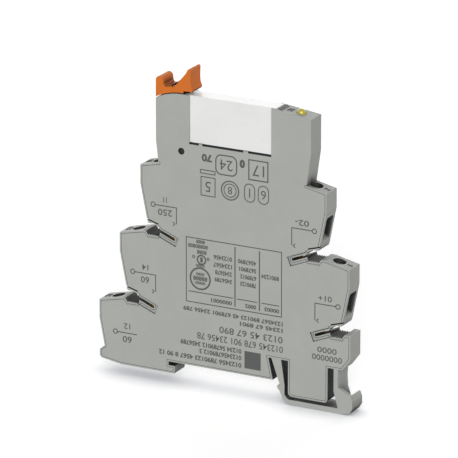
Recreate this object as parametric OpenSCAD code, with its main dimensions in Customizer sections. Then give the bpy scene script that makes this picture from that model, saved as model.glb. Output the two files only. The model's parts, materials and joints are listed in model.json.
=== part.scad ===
// Slim interface relay for a 35 mm mounting rail: a socket housing with five screw clamps,
// an orange eject lever and a plug-in miniature relay.
// The origin is the middle of the rail seat, halfway through the thickness.
// X runs along the long side, Y through the thickness (front face at -Y), Z up from the rail.

/* [Housing] */
// Thickness of the device along the rail
module_t = 6.2; // [6.2:0.1:7.5]
// Thickness of the tray's back plate
back_t = 0.9; // [0.8:0.05:1]
// Thickness of the cover plate
cover_t = 0.9; // [0.8:0.05:1]
// Thickness of the tray's outer wall
rim_t = 0.8; // [0.7:0.05:1]
// Width of the rim that stays visible round the cover
cover_inset = 0.55; // [0.4:0.05:0.6]
// Gap between the cover's edge and the rim
seam = 0.12; // [0.05:0.01:0.15]
// Thickness of ribs inside the tray
rib_t = 0.7; // [0.5:0.05:0.9]

/* [Terminal levels] */
// Height of the lowest terminals' outer corners above the rail
low_level = 15; // [14.5:0.1:15.5]
// Height between two terminal levels
level_pitch = 20.9; // [20.5:0.1:21.3]
// Distance of the highest left terminal's corner from the middle
left_reach = 26.3; // [26:0.1:27]
// Outward step from one left terminal to the next
left_step = 6.7; // [6.4:0.1:7]
// Distance of the highest right terminal's corner from the middle
right_reach = 31.9; // [31.5:0.1:32.5]
// Outward step from one right terminal to the next
right_step = 7.2; // [7:0.1:7.5]
// Length of a terminal's sloped top
block_run = 7.3; // [7:0.1:7.6]
// Rise of a terminal's sloped top towards the middle
block_rise = 1.6; // [1.2:0.1:1.9]
// Height of a terminal's upright side
block_side = 5.5; // [5:0.1:6]
// Height from a terminal's tip down to the corner of the next one
block_gap = 4.9; // [4.7:0.1:5.2]
// How far the slanted side leans in
block_lean = 2.1; // [1.8:0.1:2.4]

/* [Bridge slots] */
// Height of the slot that takes a plug-in bridge
slot_w = 0.85; // [0.7:0.05:1]
// Length of the slot behind its mouth
slot_len = 5.2; // [4.8:0.1:5.6]
// Angle at which the slot rises outward
slot_angle = 22; // [20:1:24]
// Depth of the shallow recess round a slot
recess_depth = 0.3; // [0.2:0.05:0.4]
// Width of the shallow recess above the slot
recess_above = 0.75; // [0.6:0.05:0.9]
// Width of the shallow recess below the slot
recess_below = 1.25; // [1:0.05:1.4]
// Length of the shallow recess past the slot's inner end
recess_end = 1; // [0.8:0.05:1.2]
// Number of ribs across the floor of the slot's mouth
mouth_ribs = 4; // [2:1:5]

/* [Columns and relay bay] */
// Height of the bay's floor edge above the highest terminals' inner edges
neck_h = 6.5; // [6.4:0.1:6.7]
// Length by which the bay's sides cover the relay's ends
bay_lap = 1.2; // [1:0.05:1.4]
// Distance of the left column's outer edge from the pivot
left_column_out = 8; // [7.8:0.1:8.2]
// Distance of the right column's outer edge from the relay
right_column_out = 11; // [10.8:0.1:11.5]
// Height of the right column above the bay's floor edge
right_column_h = 14; // [13.7:0.1:14.4]
// Fall of the right column's top towards its outer edge
right_column_fall = 1.6; // [1.2:0.1:2]

/* [Rail foot] */
// Width of the mounting rail
rail_w = 35; // [34.8:0.1:35.2]
// Thickness of the mounting rail's brim
brim_t = 1; // [0.9:0.05:1.1]
// Clearance round the rail's brim
brim_gap = 0.15; // [0.1:0.05:0.25]
// Length of the brim's edge that each hook holds
hook_grip = 1.9; // [1.6:0.1:2.2]
// Height of the feet below the rail seat
foot_drop = 3.4; // [3.2:0.1:3.6]
// Travel of the spring foot that frees the rail
latch_travel = 1; // [0.9:0.05:1.05]

/* [Screw clamps] */
// Radius of the screwdriver hole
driver_r = 1.9; // [1.85:0.01:1.95]
// Radius of the clamp screw's shank
shank_r = 1.5; // [1.4:0.05:1.5]
// Radius of the clamp screw's head
head_r = 1.75; // [1.7:0.01:1.8]
// Travel of the clamp cage
cage_travel = 2.5; // [2.3:0.05:2.6]
// Length of the clamp cage along the wire
cage_l = 5.2; // [5:0.1:5.4]
// Thickness of the clamp cage's sheet
cage_t = 0.5; // [0.4:0.05:0.6]
// Height of the wire entry
entry_h = 7; // [5.8:0.1:7.2]

/* [Eject lever] */
// Distance of the pivot from the relay's end
pivot_out = 1.3; // [1.2:0.05:1.4]
// Depth of the pivot below the bay's floor edge
pivot_below = 2.4; // [2.3:0.05:2.5]
// Radius of the pivot pin
pivot_r = 1; // [0.9:0.02:1.04]
// Radius of the left column's curved top about the pivot
swing_r = 16.5; // [16.3:0.1:16.7]
// Width of the lever's head across the thickness
lever_w = 5.8; // [5.4:0.1:6]
// Height of the lever's horn above its floor
horn_h = 6.1; // [5.5:0.1:7]

/* [Relay] */
// Place of the relay's middle along X
relay_x = 2; // [1.8:0.1:2.2]
// Length of the relay's case
relay_l = 28; // [27.8:0.1:28.2]
// Thickness of the relay's case
relay_t = 5; // [4.9:0.05:5.1]
// Height of the relay's case and base
relay_h = 15; // [14.8:0.1:15.2]
// Wall of the relay's case
case_t = 0.4; // [0.3:0.05:0.5]

/* [Hidden] */
$fn = 64;

// Overrun of every cut past the face it opens
cut = 0.5;
// Clearance of pieces that lie loosely beside each other
loose = 0.1;

// Planes through the thickness
front_y = -module_t / 2;
rear_y = module_t / 2;
cover_y = front_y + cover_t;
plate_y = rear_y - back_t;

// Terminals from the top down: 11, 14, 12 on the left, and A2, A1 on the right
LEFT_CLAMPS = ["11", "14", "12"];
CLAMPS = concat(LEFT_CLAMPS, ["A2", "A1"]);
lowest = len(LEFT_CLAMPS) - 1;
function clamp_side(i) = i <= lowest ? -1 : 1;
function clamp_level(i) = i <= lowest ? i : i - len(LEFT_CLAMPS);
FORKS = [for (i = [0 : len(CLAMPS) - 1]) if (clamp_level(i) < lowest) i];

// Outer corner of a terminal
function corner_x(i) =
    clamp_side(i) < 0 ? -left_reach - clamp_level(i) * left_step
    : right_reach + clamp_level(i) * right_step;
function corner_z(i) = low_level + (lowest - clamp_level(i)) * level_pitch;

// Outline of a terminal's lower end
block_h = level_pitch - block_gap;
tip_in = 0.3;
tip_h = 0.75;
under_in = 1.7;
under_drop = 0.3;
low_x = -block_lean - tip_in - under_in;
low_z = -block_h - tip_h - under_drop;

// Bridge slot and its wide mouth, measured from the corner of the terminal above
slot_tip_in = 10.4;
slot_tip_rise = 0.35;
slot_tip_drop = level_pitch - slot_tip_rise;
mouth_in = 6;
mouth_out = 1.4;
mouth_roof_rise = 3.1;
mouth_roof = level_pitch - mouth_roof_rise;
mouth_floor_rise = 0.5;
mouth_floor = level_pitch - mouth_floor_rise;
mouth_chamfer = 1;
mouth_lip = block_rise - mouth_floor_rise + 2 * loose;
mouth_rib_h = 0.35;

// Wide seam along a terminal's lower tip
groove_len = 4.1;
groove_w = 0.4;
groove_rise = 0.4;
groove_angle = 16;
groove_skirt = 0.5;

// Sizes of the spare block under the lower right terminal
spare_out = 0.4;
spare_x = right_reach + right_step + spare_out;
spare_rise = 1.8;
spare_top = low_level + spare_rise;
spare_side = 7;
spare_under = 6.4;
spare_chamfer = 2.5;

// Sizes of the left foot
waist_in = 1.6;
waist_z = 1.4;
toe_r = 1.3;
sole_rise = 1;
sole_run = 7;

// Sizes of the rail seat
brim_x = rail_w / 2 + loose;
seat_short = 2.1;
seat_right = rail_w / 2 - seat_short;
wedge_lean = 1.4;
slot_h = brim_t + brim_gap;

// Sizes of the spring foot's strut, and of the pad between its two legs
strut_gap = 1;
strut_left = seat_right - wedge_lean + strut_gap;
strut_w = 3;
strut_low_w = 1.5;
strut_foot = rail_w / 2 + loose;
neck_in = 5.1;
neck_left = spare_x - neck_in;
neck_w = 1.35;
pad_left = strut_foot + strut_low_w + latch_travel + loose;
pad_gap = 1.9;
pad_right = neck_left - pad_gap;
pad_bottom = -4;
pad_r = 1.2;

// Relay, its bay and the pivot beside it
shoulder_z = corner_z(0) + block_rise;
bay_floor = shoulder_z + neck_h;
relay_left = relay_x - relay_l / 2;
relay_right = relay_x + relay_l / 2;
relay_sunk = 1;
relay_bottom = bay_floor - relay_sunk;
relay_top = relay_bottom + relay_h;
bay_left = relay_left + bay_lap;
bay_right = relay_right - bay_lap;
pivot_x = relay_left - pivot_out;
pivot_z = bay_floor - pivot_below;

// Columns beside the bay, with bends near their feet
left_column = pivot_x - left_column_out;
left_foot_in = 0.9;
left_foot_x = left_column + left_foot_in;
left_bend_drop = 0.3;
left_bend_z = bay_floor - left_bend_drop;
right_column = relay_right + right_column_out;
right_column_top = bay_floor + right_column_h;
right_foot_in = 1.5;
right_foot_x = right_column - right_foot_in;
right_bend_rise = 2.4;
right_bend_z = bay_floor + right_bend_rise;

// Draws a flat shape in X and Z and extrudes it through the thickness from y0 to y1
module slab(y0, y1) {
    translate([0, y1, 0])
        rotate([90, 0, 0])
            linear_extrude(height = y1 - y0)
                children();
}

// A strip of constant width along a list of points, with mitred bends
function side_of(run) = [-run[1], run[0]] / norm(run);
function strip_side(points, i) =
    i == 0 ? side_of(points[1] - points[0])
    : i == len(points) - 1 ? side_of(points[i] - points[i - 1])
    : let (
        a = side_of(points[i] - points[i - 1]),
        b = side_of(points[i + 1] - points[i])
    ) (a + b) / (1 + a * b);

module strip(points, w) {
    last = len(points) - 1;
    polygon([
        for (i = [0 : last]) points[i] + strip_side(points, i) * w / 2,
        for (i = [last : -1 : 0]) points[i] - strip_side(points, i) * w / 2
    ]);
}

// A rectangle with round corners
module round_box(size, r) {
    for (x = [r, size[0] - r], y = [r, size[1] - r])
        translate([x, y])
            circle(r = r);
    translate([r, 0])
        square([size[0] - 2 * r, size[1]]);
    translate([0, r])
        square([size[0], size[1] - 2 * r]);
}

// Moves a shape drawn with x pointing outward to a terminal's outer corner
module at_corner(i) {
    translate([corner_x(i), corner_z(i)])
        mirror([clamp_side(i) < 0 ? 1 : 0, 0])
            children();
}

// One terminal level, from its sloped top to the next level, reaching in to the middle
module level_outline(i) {
    inner = -abs(corner_x(i));
    at_corner(i)
        polygon([
            [inner, block_rise], [-block_run, block_rise], [0, 0], [0, -block_side],
            [-block_lean, -block_h], [-block_lean - tip_in, -block_h - tip_h], [low_x, low_z],
            [low_x, -level_pitch], [inner, -level_pitch]
        ]);
}

// Slot and mouth between a terminal and the level below it
module bridge_slot(margin = 0) {
    translate([-slot_tip_in, -slot_tip_drop])
        rotate(slot_angle) {
            circle(d = slot_w + 2 * margin);
            translate([0, -slot_w / 2 - margin])
                square([slot_len, slot_w + 2 * margin]);
        }
}

// The mouth's floor is ribbed along the thickness
module bridge_mouth() {
    inner = -mouth_in + mouth_chamfer / 2;
    pitch = (-mouth_out - mouth_chamfer - inner) / mouth_ribs;
    polygon([
        [-mouth_in, -mouth_roof], [-mouth_in, -mouth_floor + mouth_chamfer / 2], [inner, -mouth_floor],
        for (k = [1 : mouth_ribs], top = [1, 0])
            [inner + (k - top / 2) * pitch, -mouth_floor + top * mouth_rib_h],
        [-mouth_out, -mouth_floor + mouth_lip], [-mouth_out, low_z], [low_x, low_z + tip_in]
    ]);
}

// Shallow recess round a bridge slot, square at its inner end
module slot_recess() {
    translate([-slot_tip_in, -slot_tip_drop])
        rotate(slot_angle)
            translate([-slot_w / 2 - recess_end, -slot_w / 2 - recess_below])
                square([slot_len + slot_w / 2 + recess_end, slot_w + recess_above + recess_below]);
}

// Wide seam above a terminal's lower tip, open at the terminal's side
module edge_groove(h) {
    translate([-block_lean + groove_w, -block_h + groove_rise])
        rotate(180 + groove_angle)
            translate([0, -groove_w / 2])
                square([groove_len, h]);
}

// Upper body with the two columns and the relay bay between them
module upper_outline() {
    arc_left = asin((left_column - pivot_x) / swing_r);
    arc_right = asin((bay_left - pivot_x) / swing_r);
    steps = 8;
    polygon([
        [left_foot_x, shoulder_z - block_rise], [left_column, left_bend_z],
        for (i = [0 : steps])
            let (a = arc_left + (arc_right - arc_left) * i / steps)
                [pivot_x + swing_r * sin(a), pivot_z + swing_r * cos(a)],
        [bay_left, bay_floor], [bay_right, bay_floor], [bay_right, right_column_top],
        [right_column, right_column_top - right_column_fall], [right_column, right_bend_z],
        [right_foot_x, shoulder_z - block_rise]
    ]);
}

// Lowest left level with the fixed foot, the rail slot and the seat
module left_base_outline() {
    x = corner_x(lowest);
    z = low_level;
    polygon([
        [0, z + block_rise], [x + block_run, z + block_rise], [x, z], [x, z - block_side],
        [x + waist_in, waist_z], [x, waist_z - toe_r], [x, -toe_r - sole_rise / 2],
        [x + toe_r / 2, sole_rise - foot_drop], [x + sole_run, -foot_drop],
        [-brim_x + hook_grip - brim_gap, -foot_drop], [-brim_x + hook_grip + brim_gap, -slot_h - brim_t],
        [-brim_x + hook_grip, -slot_h], [-brim_x, -slot_h], [-brim_x, 0], [0, 0]
    ]);
}

// Lowest right level with the spare block, the pad and the seat's right end
module right_base_outline() {
    z = low_level + block_rise + rim_t;
    polygon([
        [0, z], [spare_x - block_run, z], [spare_x - block_lean, spare_top], [spare_x, spare_top],
        [spare_x, spare_top - spare_side], [spare_x - spare_chamfer, spare_under],
        [seat_right - wedge_lean, spare_under], [seat_right, 0], [0, 0]
    ]);
    translate([pad_left, pad_bottom])
        round_box([pad_right - pad_left, spare_under - pad_bottom + pad_r * 2], pad_r);
}

// The whole housing seen from the front, with its bridge slots open
module housing_outline() {
    difference() {
        union() {
            upper_outline();
            for (i = FORKS)
                level_outline(i);
            left_base_outline();
            right_base_outline();
        }
        for (i = FORKS)
            at_corner(i) {
                bridge_slot();
                bridge_mouth();
            }
    }
}

// Part of the outline where the cover lies inside a visible rim
module rim_zone() {
    translate([-spare_x - cut, -foot_drop - pad_r * 2])
        square([2 * spare_x + 2 * cut, shoulder_z + foot_drop + pad_r * 2]);
}

module cover_outline() {
    difference() {
        intersection() {
            offset(delta = -cover_inset)
                housing_outline();
            rim_zone();
        }
        for (i = FORKS)
            at_corner(i)
                edge_groove(groove_w + groove_skirt);
    }
    difference() {
        housing_outline();
        rim_zone();
    }
}

// Screw clamps: local frame at the middle of the screwdriver hole, on the sloped top,
// with z along the screw and x outward
clamp_in = 4.6;
clamp_tilt = atan2(block_rise, block_run);
head_top = -1.2;
head_h = 1.8;
roof_z = head_top - head_h;
bar_t = 0.8;
bar_w = 2.9;
shank_tip = -7.6;
plate_top = roof_z - cage_travel - 2 * loose;
plate_t = 1;
cage_w = 4.2;
clamp_gap = 0.3;
cage_floor = shank_tip - bar_t - clamp_gap - cage_travel;
floor_t = 0.8;
entry_w = 4.2;
entry_below = 1;
entry_mid = (cage_floor + shank_tip - bar_t) / 2 - entry_below;
entry_r = 0.8;
entry_low = entry_mid - entry_h / 2;
funnel_run = 3.4;
pocket_floor = cage_floor - floor_t - clamp_gap;

module at_clamp(i) {
    side = clamp_side(i);
    translate([corner_x(i) - side * clamp_in, 0, corner_z(i) + clamp_in * block_rise / block_run])
        rotate([0, 0, side < 0 ? 180 : 0])
            rotate([0, clamp_tilt, 0])
                children();
}

// Solid roof, floor and inner wall that hold one clamp inside the tray
module clamp_ribs() {
    reach = cage_l / 2 + loose;
    slab(-module_t / 2, module_t / 2) {
        translate([-reach - rib_t, roof_z - loose])
            square([2 * reach + 2 * rib_t, -roof_z]);
        translate([-reach - rib_t, pocket_floor - rib_t])
            square([2 * reach + 2 * rib_t, rib_t]);
        translate([-reach - rib_t, shank_tip + clamp_gap])
            square([rib_t, roof_z - shank_tip]);
        translate([-reach - rib_t, pocket_floor - rib_t])
            square([rib_t, shank_tip - bar_t - clamp_gap - pocket_floor]);
        polygon([
            [reach, pocket_floor], [reach + funnel_run, entry_low], [reach + clamp_in, entry_low],
            [reach + clamp_in, entry_low - rib_t], [reach + funnel_run, entry_low - rib_t],
            [reach, pocket_floor - rib_t]
        ]);
    }
}

// Screwdriver hole, and the wire entry with its sloped floor
module clamp_cuts() {
    reach = cage_l / 2 + loose;
    depth = clamp_in + block_lean + rib_t;
    translate([0, 0, roof_z - cut])
        cylinder(r = driver_r, h = cut - roof_z + block_rise);
    intersection() {
        translate([reach, -entry_w / 2, entry_low])
            rotate([90, 0, 90])
                linear_extrude(height = depth)
                    round_box([entry_w, entry_h], entry_r);
        slab(-module_t / 2, module_t / 2)
            polygon([
                [reach + rib_t, entry_low + entry_h + cut], [reach, pocket_floor],
                [reach + funnel_run, entry_low], [reach + depth + cut, entry_low],
                [reach + depth + cut, entry_low + entry_h + cut]
            ]);
    }
}

// Ledge and lugs at the relay's base
ledge_t = 0.9;
lug_h = 0.5;
left_lug_in = 3;
left_lug_w = 1.1;
right_lug_in = 8.7;
right_lug_w = 1.5;

// Relay pins from left to right: normally closed, common, normally open, and two for the coil
contact_pitch = 5;
contact_in = 4.8;
contact_first = relay_left + contact_in;
coil_pitch = 3.8;
coil_pin_in = 6;
coil_first = relay_right - coil_pin_in;
pin_w = 0.8;
pin_t = 0.5;
pin_l = 3.6;
pin_hole = 1.6;
function contact_x(i) = contact_first + i * contact_pitch;
function coil_x(i) = coil_first + i * coil_pitch;
PIN_PLACES = [contact_x(0), contact_x(1), contact_x(2), coil_x(0), coil_x(1)];

// Eject lever
lever_gap = 0.25;
lever_turn = 20;
arm_t = 3;
arm_left = 1.4;
arm_right = 0.8;
hub_r = 1.75;
heel_l = 4.2;
heel_gap = 0.15;
heel_top = relay_bottom - pivot_z - heel_gap;
heel_low = 0.4;
running = 0.05;

// Status light on the right column
led_in = 4.5;
led_x = right_column - led_in;
lens_r = 1.3;
lens_stem = 2.6;
led_size = 1.8;
led_h = 1.2;
column_tilt = atan2(right_column_fall, right_column - bay_right);

// Circuit board in the right half
board_t = 0.8;
board_edge = 0.4;
track_w = 2;
board_left = coil_x(0) - track_w / 2 - board_edge;
board_in = 2.4;
board_right = right_column - board_in;
board_clamp_gap = 11.5;
board_low_right = right_reach - board_clamp_gap;
board_drop = 15.3;
board_low = corner_z(0) - board_drop;
board_under = 5.7;
board_step = relay_bottom - board_under;
slant_low = 2.4;
board_slant_low = shoulder_z - slant_low;
slant_top = 2.1;
board_slant_top = shoulder_z + slant_top;
board_column = relay_right + loose + rib_t + board_edge;
board_head = 5.3;
board_top = right_column_top - board_head;

// Busbars and their sockets
socket_t = 0.4;
socket_h = 3.1;
socket_low = relay_bottom - ledge_t - loose - socket_h;

// Layers in which the busbars lie flat
front_layer = [cover_y, cover_y + bar_t];
rear_layer = [plate_y - bar_t, plate_y];
board_y = plate_y - board_t;
input_layer = [board_y - bar_t, board_y];

module housing_tray() {
    color([0.64, 0.65, 0.63])
    difference() {
        union() {
            difference() {
                slab(front_y, rear_y)
                    housing_outline();
                slab(front_y - cut, plate_y)
                    offset(delta = -rim_t)
                        housing_outline();
            }
            intersection() {
                slab(cover_y, plate_y + loose)
                    housing_outline();
                difference() {
                    for (i = [0 : len(CLAMPS) - 1])
                        at_clamp(i)
                            clamp_ribs();
                    busbar_room();
                }
            }
            relay_ledge();
            column_ribs();
            lugs(plate_y + back_t - wall_beside_relay, rear_y);
        }
        slab(front_y - cut, cover_y) {
            offset(delta = seam)
                cover_outline();
            for (i = FORKS)
                at_corner(i)
                    edge_groove(groove_w);
        }
        slab(front_y - cut, front_y + recess_depth)
            for (i = FORKS)
                at_corner(i)
                    slot_recess();
        for (i = [0 : len(CLAMPS) - 1])
            at_clamp(i)
                clamp_cuts();
        relay_space();
        pin_holes();
        lever_space();
        lens_hole();
        pivot_hole();
        fork_windows();
    }
}

// Thickness of the housing's skin in front of and behind the relay
wall_beside_relay = (module_t - relay_t) / 2 - running;

// Ledge that the relay's base stands on
module relay_ledge() {
    slab(cover_y, plate_y + loose)
        translate([bay_left - rim_t, relay_bottom - ledge_t])
            square([bay_right - bay_left + 2 * rim_t, ledge_t]);
}

// Walls that close the right column against the relay
module column_ribs() {
    slab(cover_y, plate_y + loose)
        translate([relay_right + loose, relay_bottom - ledge_t])
            square([rib_t, right_column_top - rim_t - relay_bottom]);
}

// Two low lugs that cover the relay's base at the edge of the bay
module lugs(y0, y1) {
    slab(y0, y1)
        for (lug = [[bay_left + left_lug_in, left_lug_w], [bay_right - right_lug_in, right_lug_w]])
            translate([lug[0], bay_floor - cut])
                square([lug[1], lug_h + cut]);
}

module relay_space() {
    translate([relay_left - loose, -relay_t / 2 - running, relay_bottom])
        cube([relay_l + 2 * loose, relay_t + 2 * running, relay_h + cut]);
}

module pin_holes() {
    for (x = PIN_PLACES)
        translate([x - pin_hole / 2, -pin_hole / 2, relay_bottom - ledge_t - cut])
            cube([pin_hole, pin_hole, ledge_t + 2 * cut]);
}

// Room for the lever's arm in the left column and for its heel under the relay
module lever_space() {
    slot_left = pivot_x - swing_r * sin(lever_turn) - arm_left - loose;
    slab(-arm_t / 2 - loose, arm_t / 2 + loose) {
        polygon([
            [pivot_x - hub_r - loose, pivot_z], [slot_left, pivot_z + swing_r * cos(lever_turn)],
            [slot_left, pivot_z + swing_r + cut], [relay_left, pivot_z + swing_r + cut],
            [relay_left, pivot_z]
        ]);
        translate([pivot_x, pivot_z - hub_r - loose])
            square([heel_l + 2 * loose, relay_bottom - pivot_z + hub_r + cut]);
    }
}

module lens_hole() {
    at_lens()
        translate([0, 0, -lens_stem])
            cylinder(r = lens_r + running, h = lens_stem + cut);
}

module pivot_hole() {
    translate([pivot_x, rear_y + cut, pivot_z])
        rotate([90, 0, 0])
            cylinder(r = pivot_r, h = module_t + 2 * cut);
}

module housing_cover() {
    color([0.66, 0.67, 0.65])
    difference() {
        union() {
            slab(front_y, cover_y)
                cover_outline();
            lugs(front_y, front_y + wall_beside_relay);
        }
        relay_space();
        pivot_hole();
        slab(front_y - cut, front_y + recess_depth)
            for (i = FORKS)
                at_corner(i)
                    slot_recess();
    }
}

// Spring foot: two thin legs carry a bar with a nose at the rail and a hook for a screwdriver
flex_z = 2.4;
nose_in = 0.8;
nose_h = 0.9;
bar_gap = 1;
bar_top = pad_bottom - bar_gap;
latch_bar_t = 1.5;
shank_h = 4.8;
neck_low = bar_top + shank_h;
hook_out = 0.7;
hook_right = spare_x + hook_out;
valley_in = 3.2;
valley_h = 1.4;
hook_valley = [hook_right - valley_in, bar_top + valley_h];
tip_back = 1;
tip_top = 4;
hook_tip = [hook_right - tip_back, bar_top + tip_top];
cheek_t = 1.3;

// Left edge of the strut at a height above the seat
function strut_x(z) = strut_left + (strut_foot - strut_left) * (spare_under - z) / (spare_under + brim_t);
function strut_right_x(z) =
    strut_left + strut_w
    + (strut_foot + strut_low_w - strut_left - strut_w) * (spare_under - z) / (spare_under + brim_t);

module latch_strut() {
    color([0.64, 0.65, 0.63])
    slab(front_y, rear_y)
        polygon([
            [strut_x(spare_under), spare_under], [strut_right_x(spare_under), spare_under],
            [strut_right_x(flex_z), flex_z], [strut_x(flex_z), flex_z]
        ]);
}

module latch_neck() {
    color([0.64, 0.65, 0.63])
    slab(front_y, rear_y)
        polygon([
            [neck_left, spare_under], [neck_left + neck_w + loose, spare_under],
            [neck_left + neck_w - loose, spare_under / 2], [neck_left + neck_w, neck_low + neck_w],
            [neck_left, neck_low + neck_w]
        ]);
}

module rail_latch() {
    bar_low = bar_top - latch_bar_t;
    color([0.64, 0.65, 0.63]) {
        slab(front_y, rear_y)
            polygon([
                [strut_x(flex_z), flex_z], [strut_right_x(flex_z), flex_z],
                [strut_right_x(-brim_t), -brim_t], [strut_right_x(-brim_t), bar_top + pad_r],
                [strut_right_x(-brim_t) + pad_r / 2, bar_top + pad_r / 3],
                [strut_right_x(-brim_t) + pad_r, bar_top],
                [neck_left + neck_w, bar_top], [neck_left, neck_low], [neck_left, neck_low + neck_w],
                [neck_left + neck_w, neck_low + neck_w], [neck_left + neck_w + loose, 0],
                hook_valley, [hook_valley[0] + loose, hook_valley[1]],
                hook_tip, [hook_tip[0] + nose_h / 2, hook_tip[1]],
                [hook_right, hook_tip[1] - neck_w], [hook_right, bar_top + nose_h / 2],
                [hook_right - nose_h, bar_low + nose_h / 2], [neck_left + neck_w, bar_low - loose],
                [strut_foot + strut_low_w + pad_r, bar_low], [strut_foot + nose_h, bar_top],
                [strut_foot, -slot_h - 2 * nose_h], [strut_foot - nose_in, -slot_h - nose_h],
                [strut_foot - nose_in, -slot_h - nose_h / 3], [strut_foot, -slot_h],
                [strut_x(-brim_t), -brim_t]
            ]);
        slab(front_y, front_y + cheek_t)
            polygon([
                [neck_left + neck_w - loose, neck_low + neck_w], [hook_tip[0] + nose_h / 2, hook_tip[1]],
                [hook_right - nose_h, bar_top], [neck_left + neck_w, bar_top]
            ]);
    }
}

// Clamp screw with a slotted head
module clamp_screw() {
    slot_t = 0.6;
    slot_depth = 0.9;
    color([0.75, 0.75, 0.72])
    difference() {
        union() {
            translate([0, 0, roof_z])
                cylinder(r = head_r, h = head_h);
            translate([0, 0, shank_tip])
                cylinder(r = shank_r, h = roof_z - shank_tip);
        }
        translate([-head_r - cut, -slot_t / 2, head_top - slot_depth])
            cube([2 * head_r + 2 * cut, slot_t, slot_depth + cut]);
    }
}

// Box-shaped clamp cage that rises on the screw and is open along the wire
module clamp_cage() {
    h = plate_top - cage_floor + floor_t;
    ridge = 0.25;
    color([0.78, 0.74, 0.62])
    difference() {
        translate([-cage_l / 2, -cage_w / 2, cage_floor - floor_t])
            cube([cage_l, cage_w, h]);
        translate([-cage_l / 2 - cut, -cage_w / 2 + cage_t, cage_floor])
            cube([cage_l + 2 * cut, cage_w - 2 * cage_t, plate_top - plate_t - cage_floor]);
        translate([0, 0, plate_top - plate_t - cut])
            cylinder(r = shank_r + running, h = plate_t + 2 * cut);
        for (x = [-cage_l / 4, 0, cage_l / 4])
            translate([x - ridge / 2, -cage_w / 2 + cage_t, cage_floor - ridge])
                cube([ridge, cage_w - 2 * cage_t, ridge + cut]);
    }
}

// Part of a busbar that lies in the clamp, in the clamp's own frame
module clamp_tongue(y0, y1) {
    root = cage_l / 2 + rib_t + loose;
    translate([0, 0, shank_tip - bar_t])
        linear_extrude(height = bar_t) {
            translate([-root - loose, -bar_w / 2])
                square([root + cage_l / 2, bar_w]);
            translate([-root - track_w, y0])
                square([track_w, y1 - y0]);
        }
}

// Place of the inner end of a clamp's tongue, in X and Z
function tongue_end(i) =
    let (
        side = clamp_side(i),
        u = -cage_l / 2 - rib_t - loose - track_w / 2,
        w = shank_tip - bar_t / 2
    )
    [
        corner_x(i) + side * (u * cos(clamp_tilt) + w * sin(clamp_tilt) - clamp_in),
        corner_z(i) + clamp_in * block_rise / block_run + w * cos(clamp_tilt) - u * sin(clamp_tilt)
    ];

// Fork round the inner end of a bridge slot, drawn in X and Z
module fork_plate(margin) {
    h = slot_w + 2 * rim_t + track_w;
    translate([-slot_tip_in, -slot_tip_drop])
        rotate(slot_angle)
            translate([-track_w - margin, -h / 2 - margin])
                square([2 * track_w + 2 * margin, h + 2 * margin]);
}

module bridge_fork(i) {
    at_corner(i)
        difference() {
            fork_plate(0);
            bridge_slot(-loose);
        }
}

// Layer of the busbar that leads past a clamp's bridge slot
function fork_layer(i) = clamp_side(i) < 0 ? front_layer : input_layer;

// Openings in the walls of the bridge slots through which the forks reach
module fork_windows() {
    for (i = FORKS)
        slab(fork_layer(i)[0] - loose, fork_layer(i)[1] + loose)
            at_corner(i)
                fork_plate(loose);
}

// Room for the busbars that pass the inner ribs of the clamps on their way to the forks
module busbar_room() {
    for (i = FORKS)
        slab(fork_layer(i)[0] - loose, fork_layer(i)[1] + loose)
            strip([tongue_end(i), [fork_x(i), fork_z(i)]], track_w + 2 * loose);
}

// Socket of two leaves that grip a relay pin, with a foot that reaches the busbar's layer
module pin_socket(x, y0, y1) {
    grip = pin_t / 2 + running;
    for (y = [-grip - socket_t, grip])
        translate([x - track_w / 2, y, socket_low])
            cube([track_w, socket_t, socket_h]);
    translate([x - track_w / 2, min(y0, -grip - socket_t), socket_low - socket_t])
        cube([track_w, max(y1, grip + socket_t) - min(y0, -grip - socket_t), socket_t + running]);
}

// Contact busbars lead from the clamp to the bridge fork and up to a relay pin at x
module contact_busbar(i, x) {
    a = tongue_end(i);
    color([0.80, 0.64, 0.36]) {
        at_clamp(i)
            clamp_tongue(-bar_w / 2, -front_layer[0] - loose);
        slab(front_layer[0], front_layer[1]) {
            strip([a, [x, a[1] + track_w], [x, socket_low]], track_w);
            strip([a, [fork_x(i), fork_z(i)]], track_w);
            bridge_fork(i);
        }
        pin_socket(x, front_layer[0], 0);
    }
}

module busbar_11() {
    contact_busbar(0, contact_x(1));
}

module busbar_14() {
    contact_busbar(1, contact_x(2));
}

// Middle of a bridge fork's plate
function fork_x(i) = corner_x(i) - clamp_side(i) * (slot_tip_in + track_w / 2 * cos(slot_angle));
function fork_z(i) = corner_z(i) - slot_tip_drop - track_w / 2 * sin(slot_angle);

module busbar_12() {
    a = tongue_end(2);
    x = contact_x(0);
    color([0.80, 0.64, 0.36]) {
        at_clamp(2)
            clamp_tongue(loose - rear_layer[1], bar_w / 2);
        slab(rear_layer[0], rear_layer[1])
            strip([a, [x, a[1] + track_w], [x, socket_low]], track_w);
        pin_socket(x, 0, rear_layer[1]);
    }
}

// Input busbars lead from the clamp to the bridge fork and to the board
module input_busbar(i, targets) {
    a = tongue_end(i);
    color([0.80, 0.64, 0.36]) {
        at_clamp(i)
            clamp_tongue(-bar_w / 2, input_layer[1] - loose);
        slab(input_layer[0], input_layer[1]) {
            strip(concat([a], targets), track_w);
            strip([a, [fork_x(i), fork_z(i)]], track_w);
            bridge_fork(i);
        }
    }
}

module busbar_a2() {
    a = tongue_end(3);
    input_busbar(3, [[board_low_right - track_w, a[1] + track_w / 2]]);
}

module busbar_a1() {
    a = tongue_end(4);
    input_busbar(4, [
        [board_left + 3 * track_w, a[1] + track_w / 2],
        [board_left + 1.5 * track_w, board_low - track_w], [board_left + 1.5 * track_w, board_low + track_w]
    ]);
}

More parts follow.
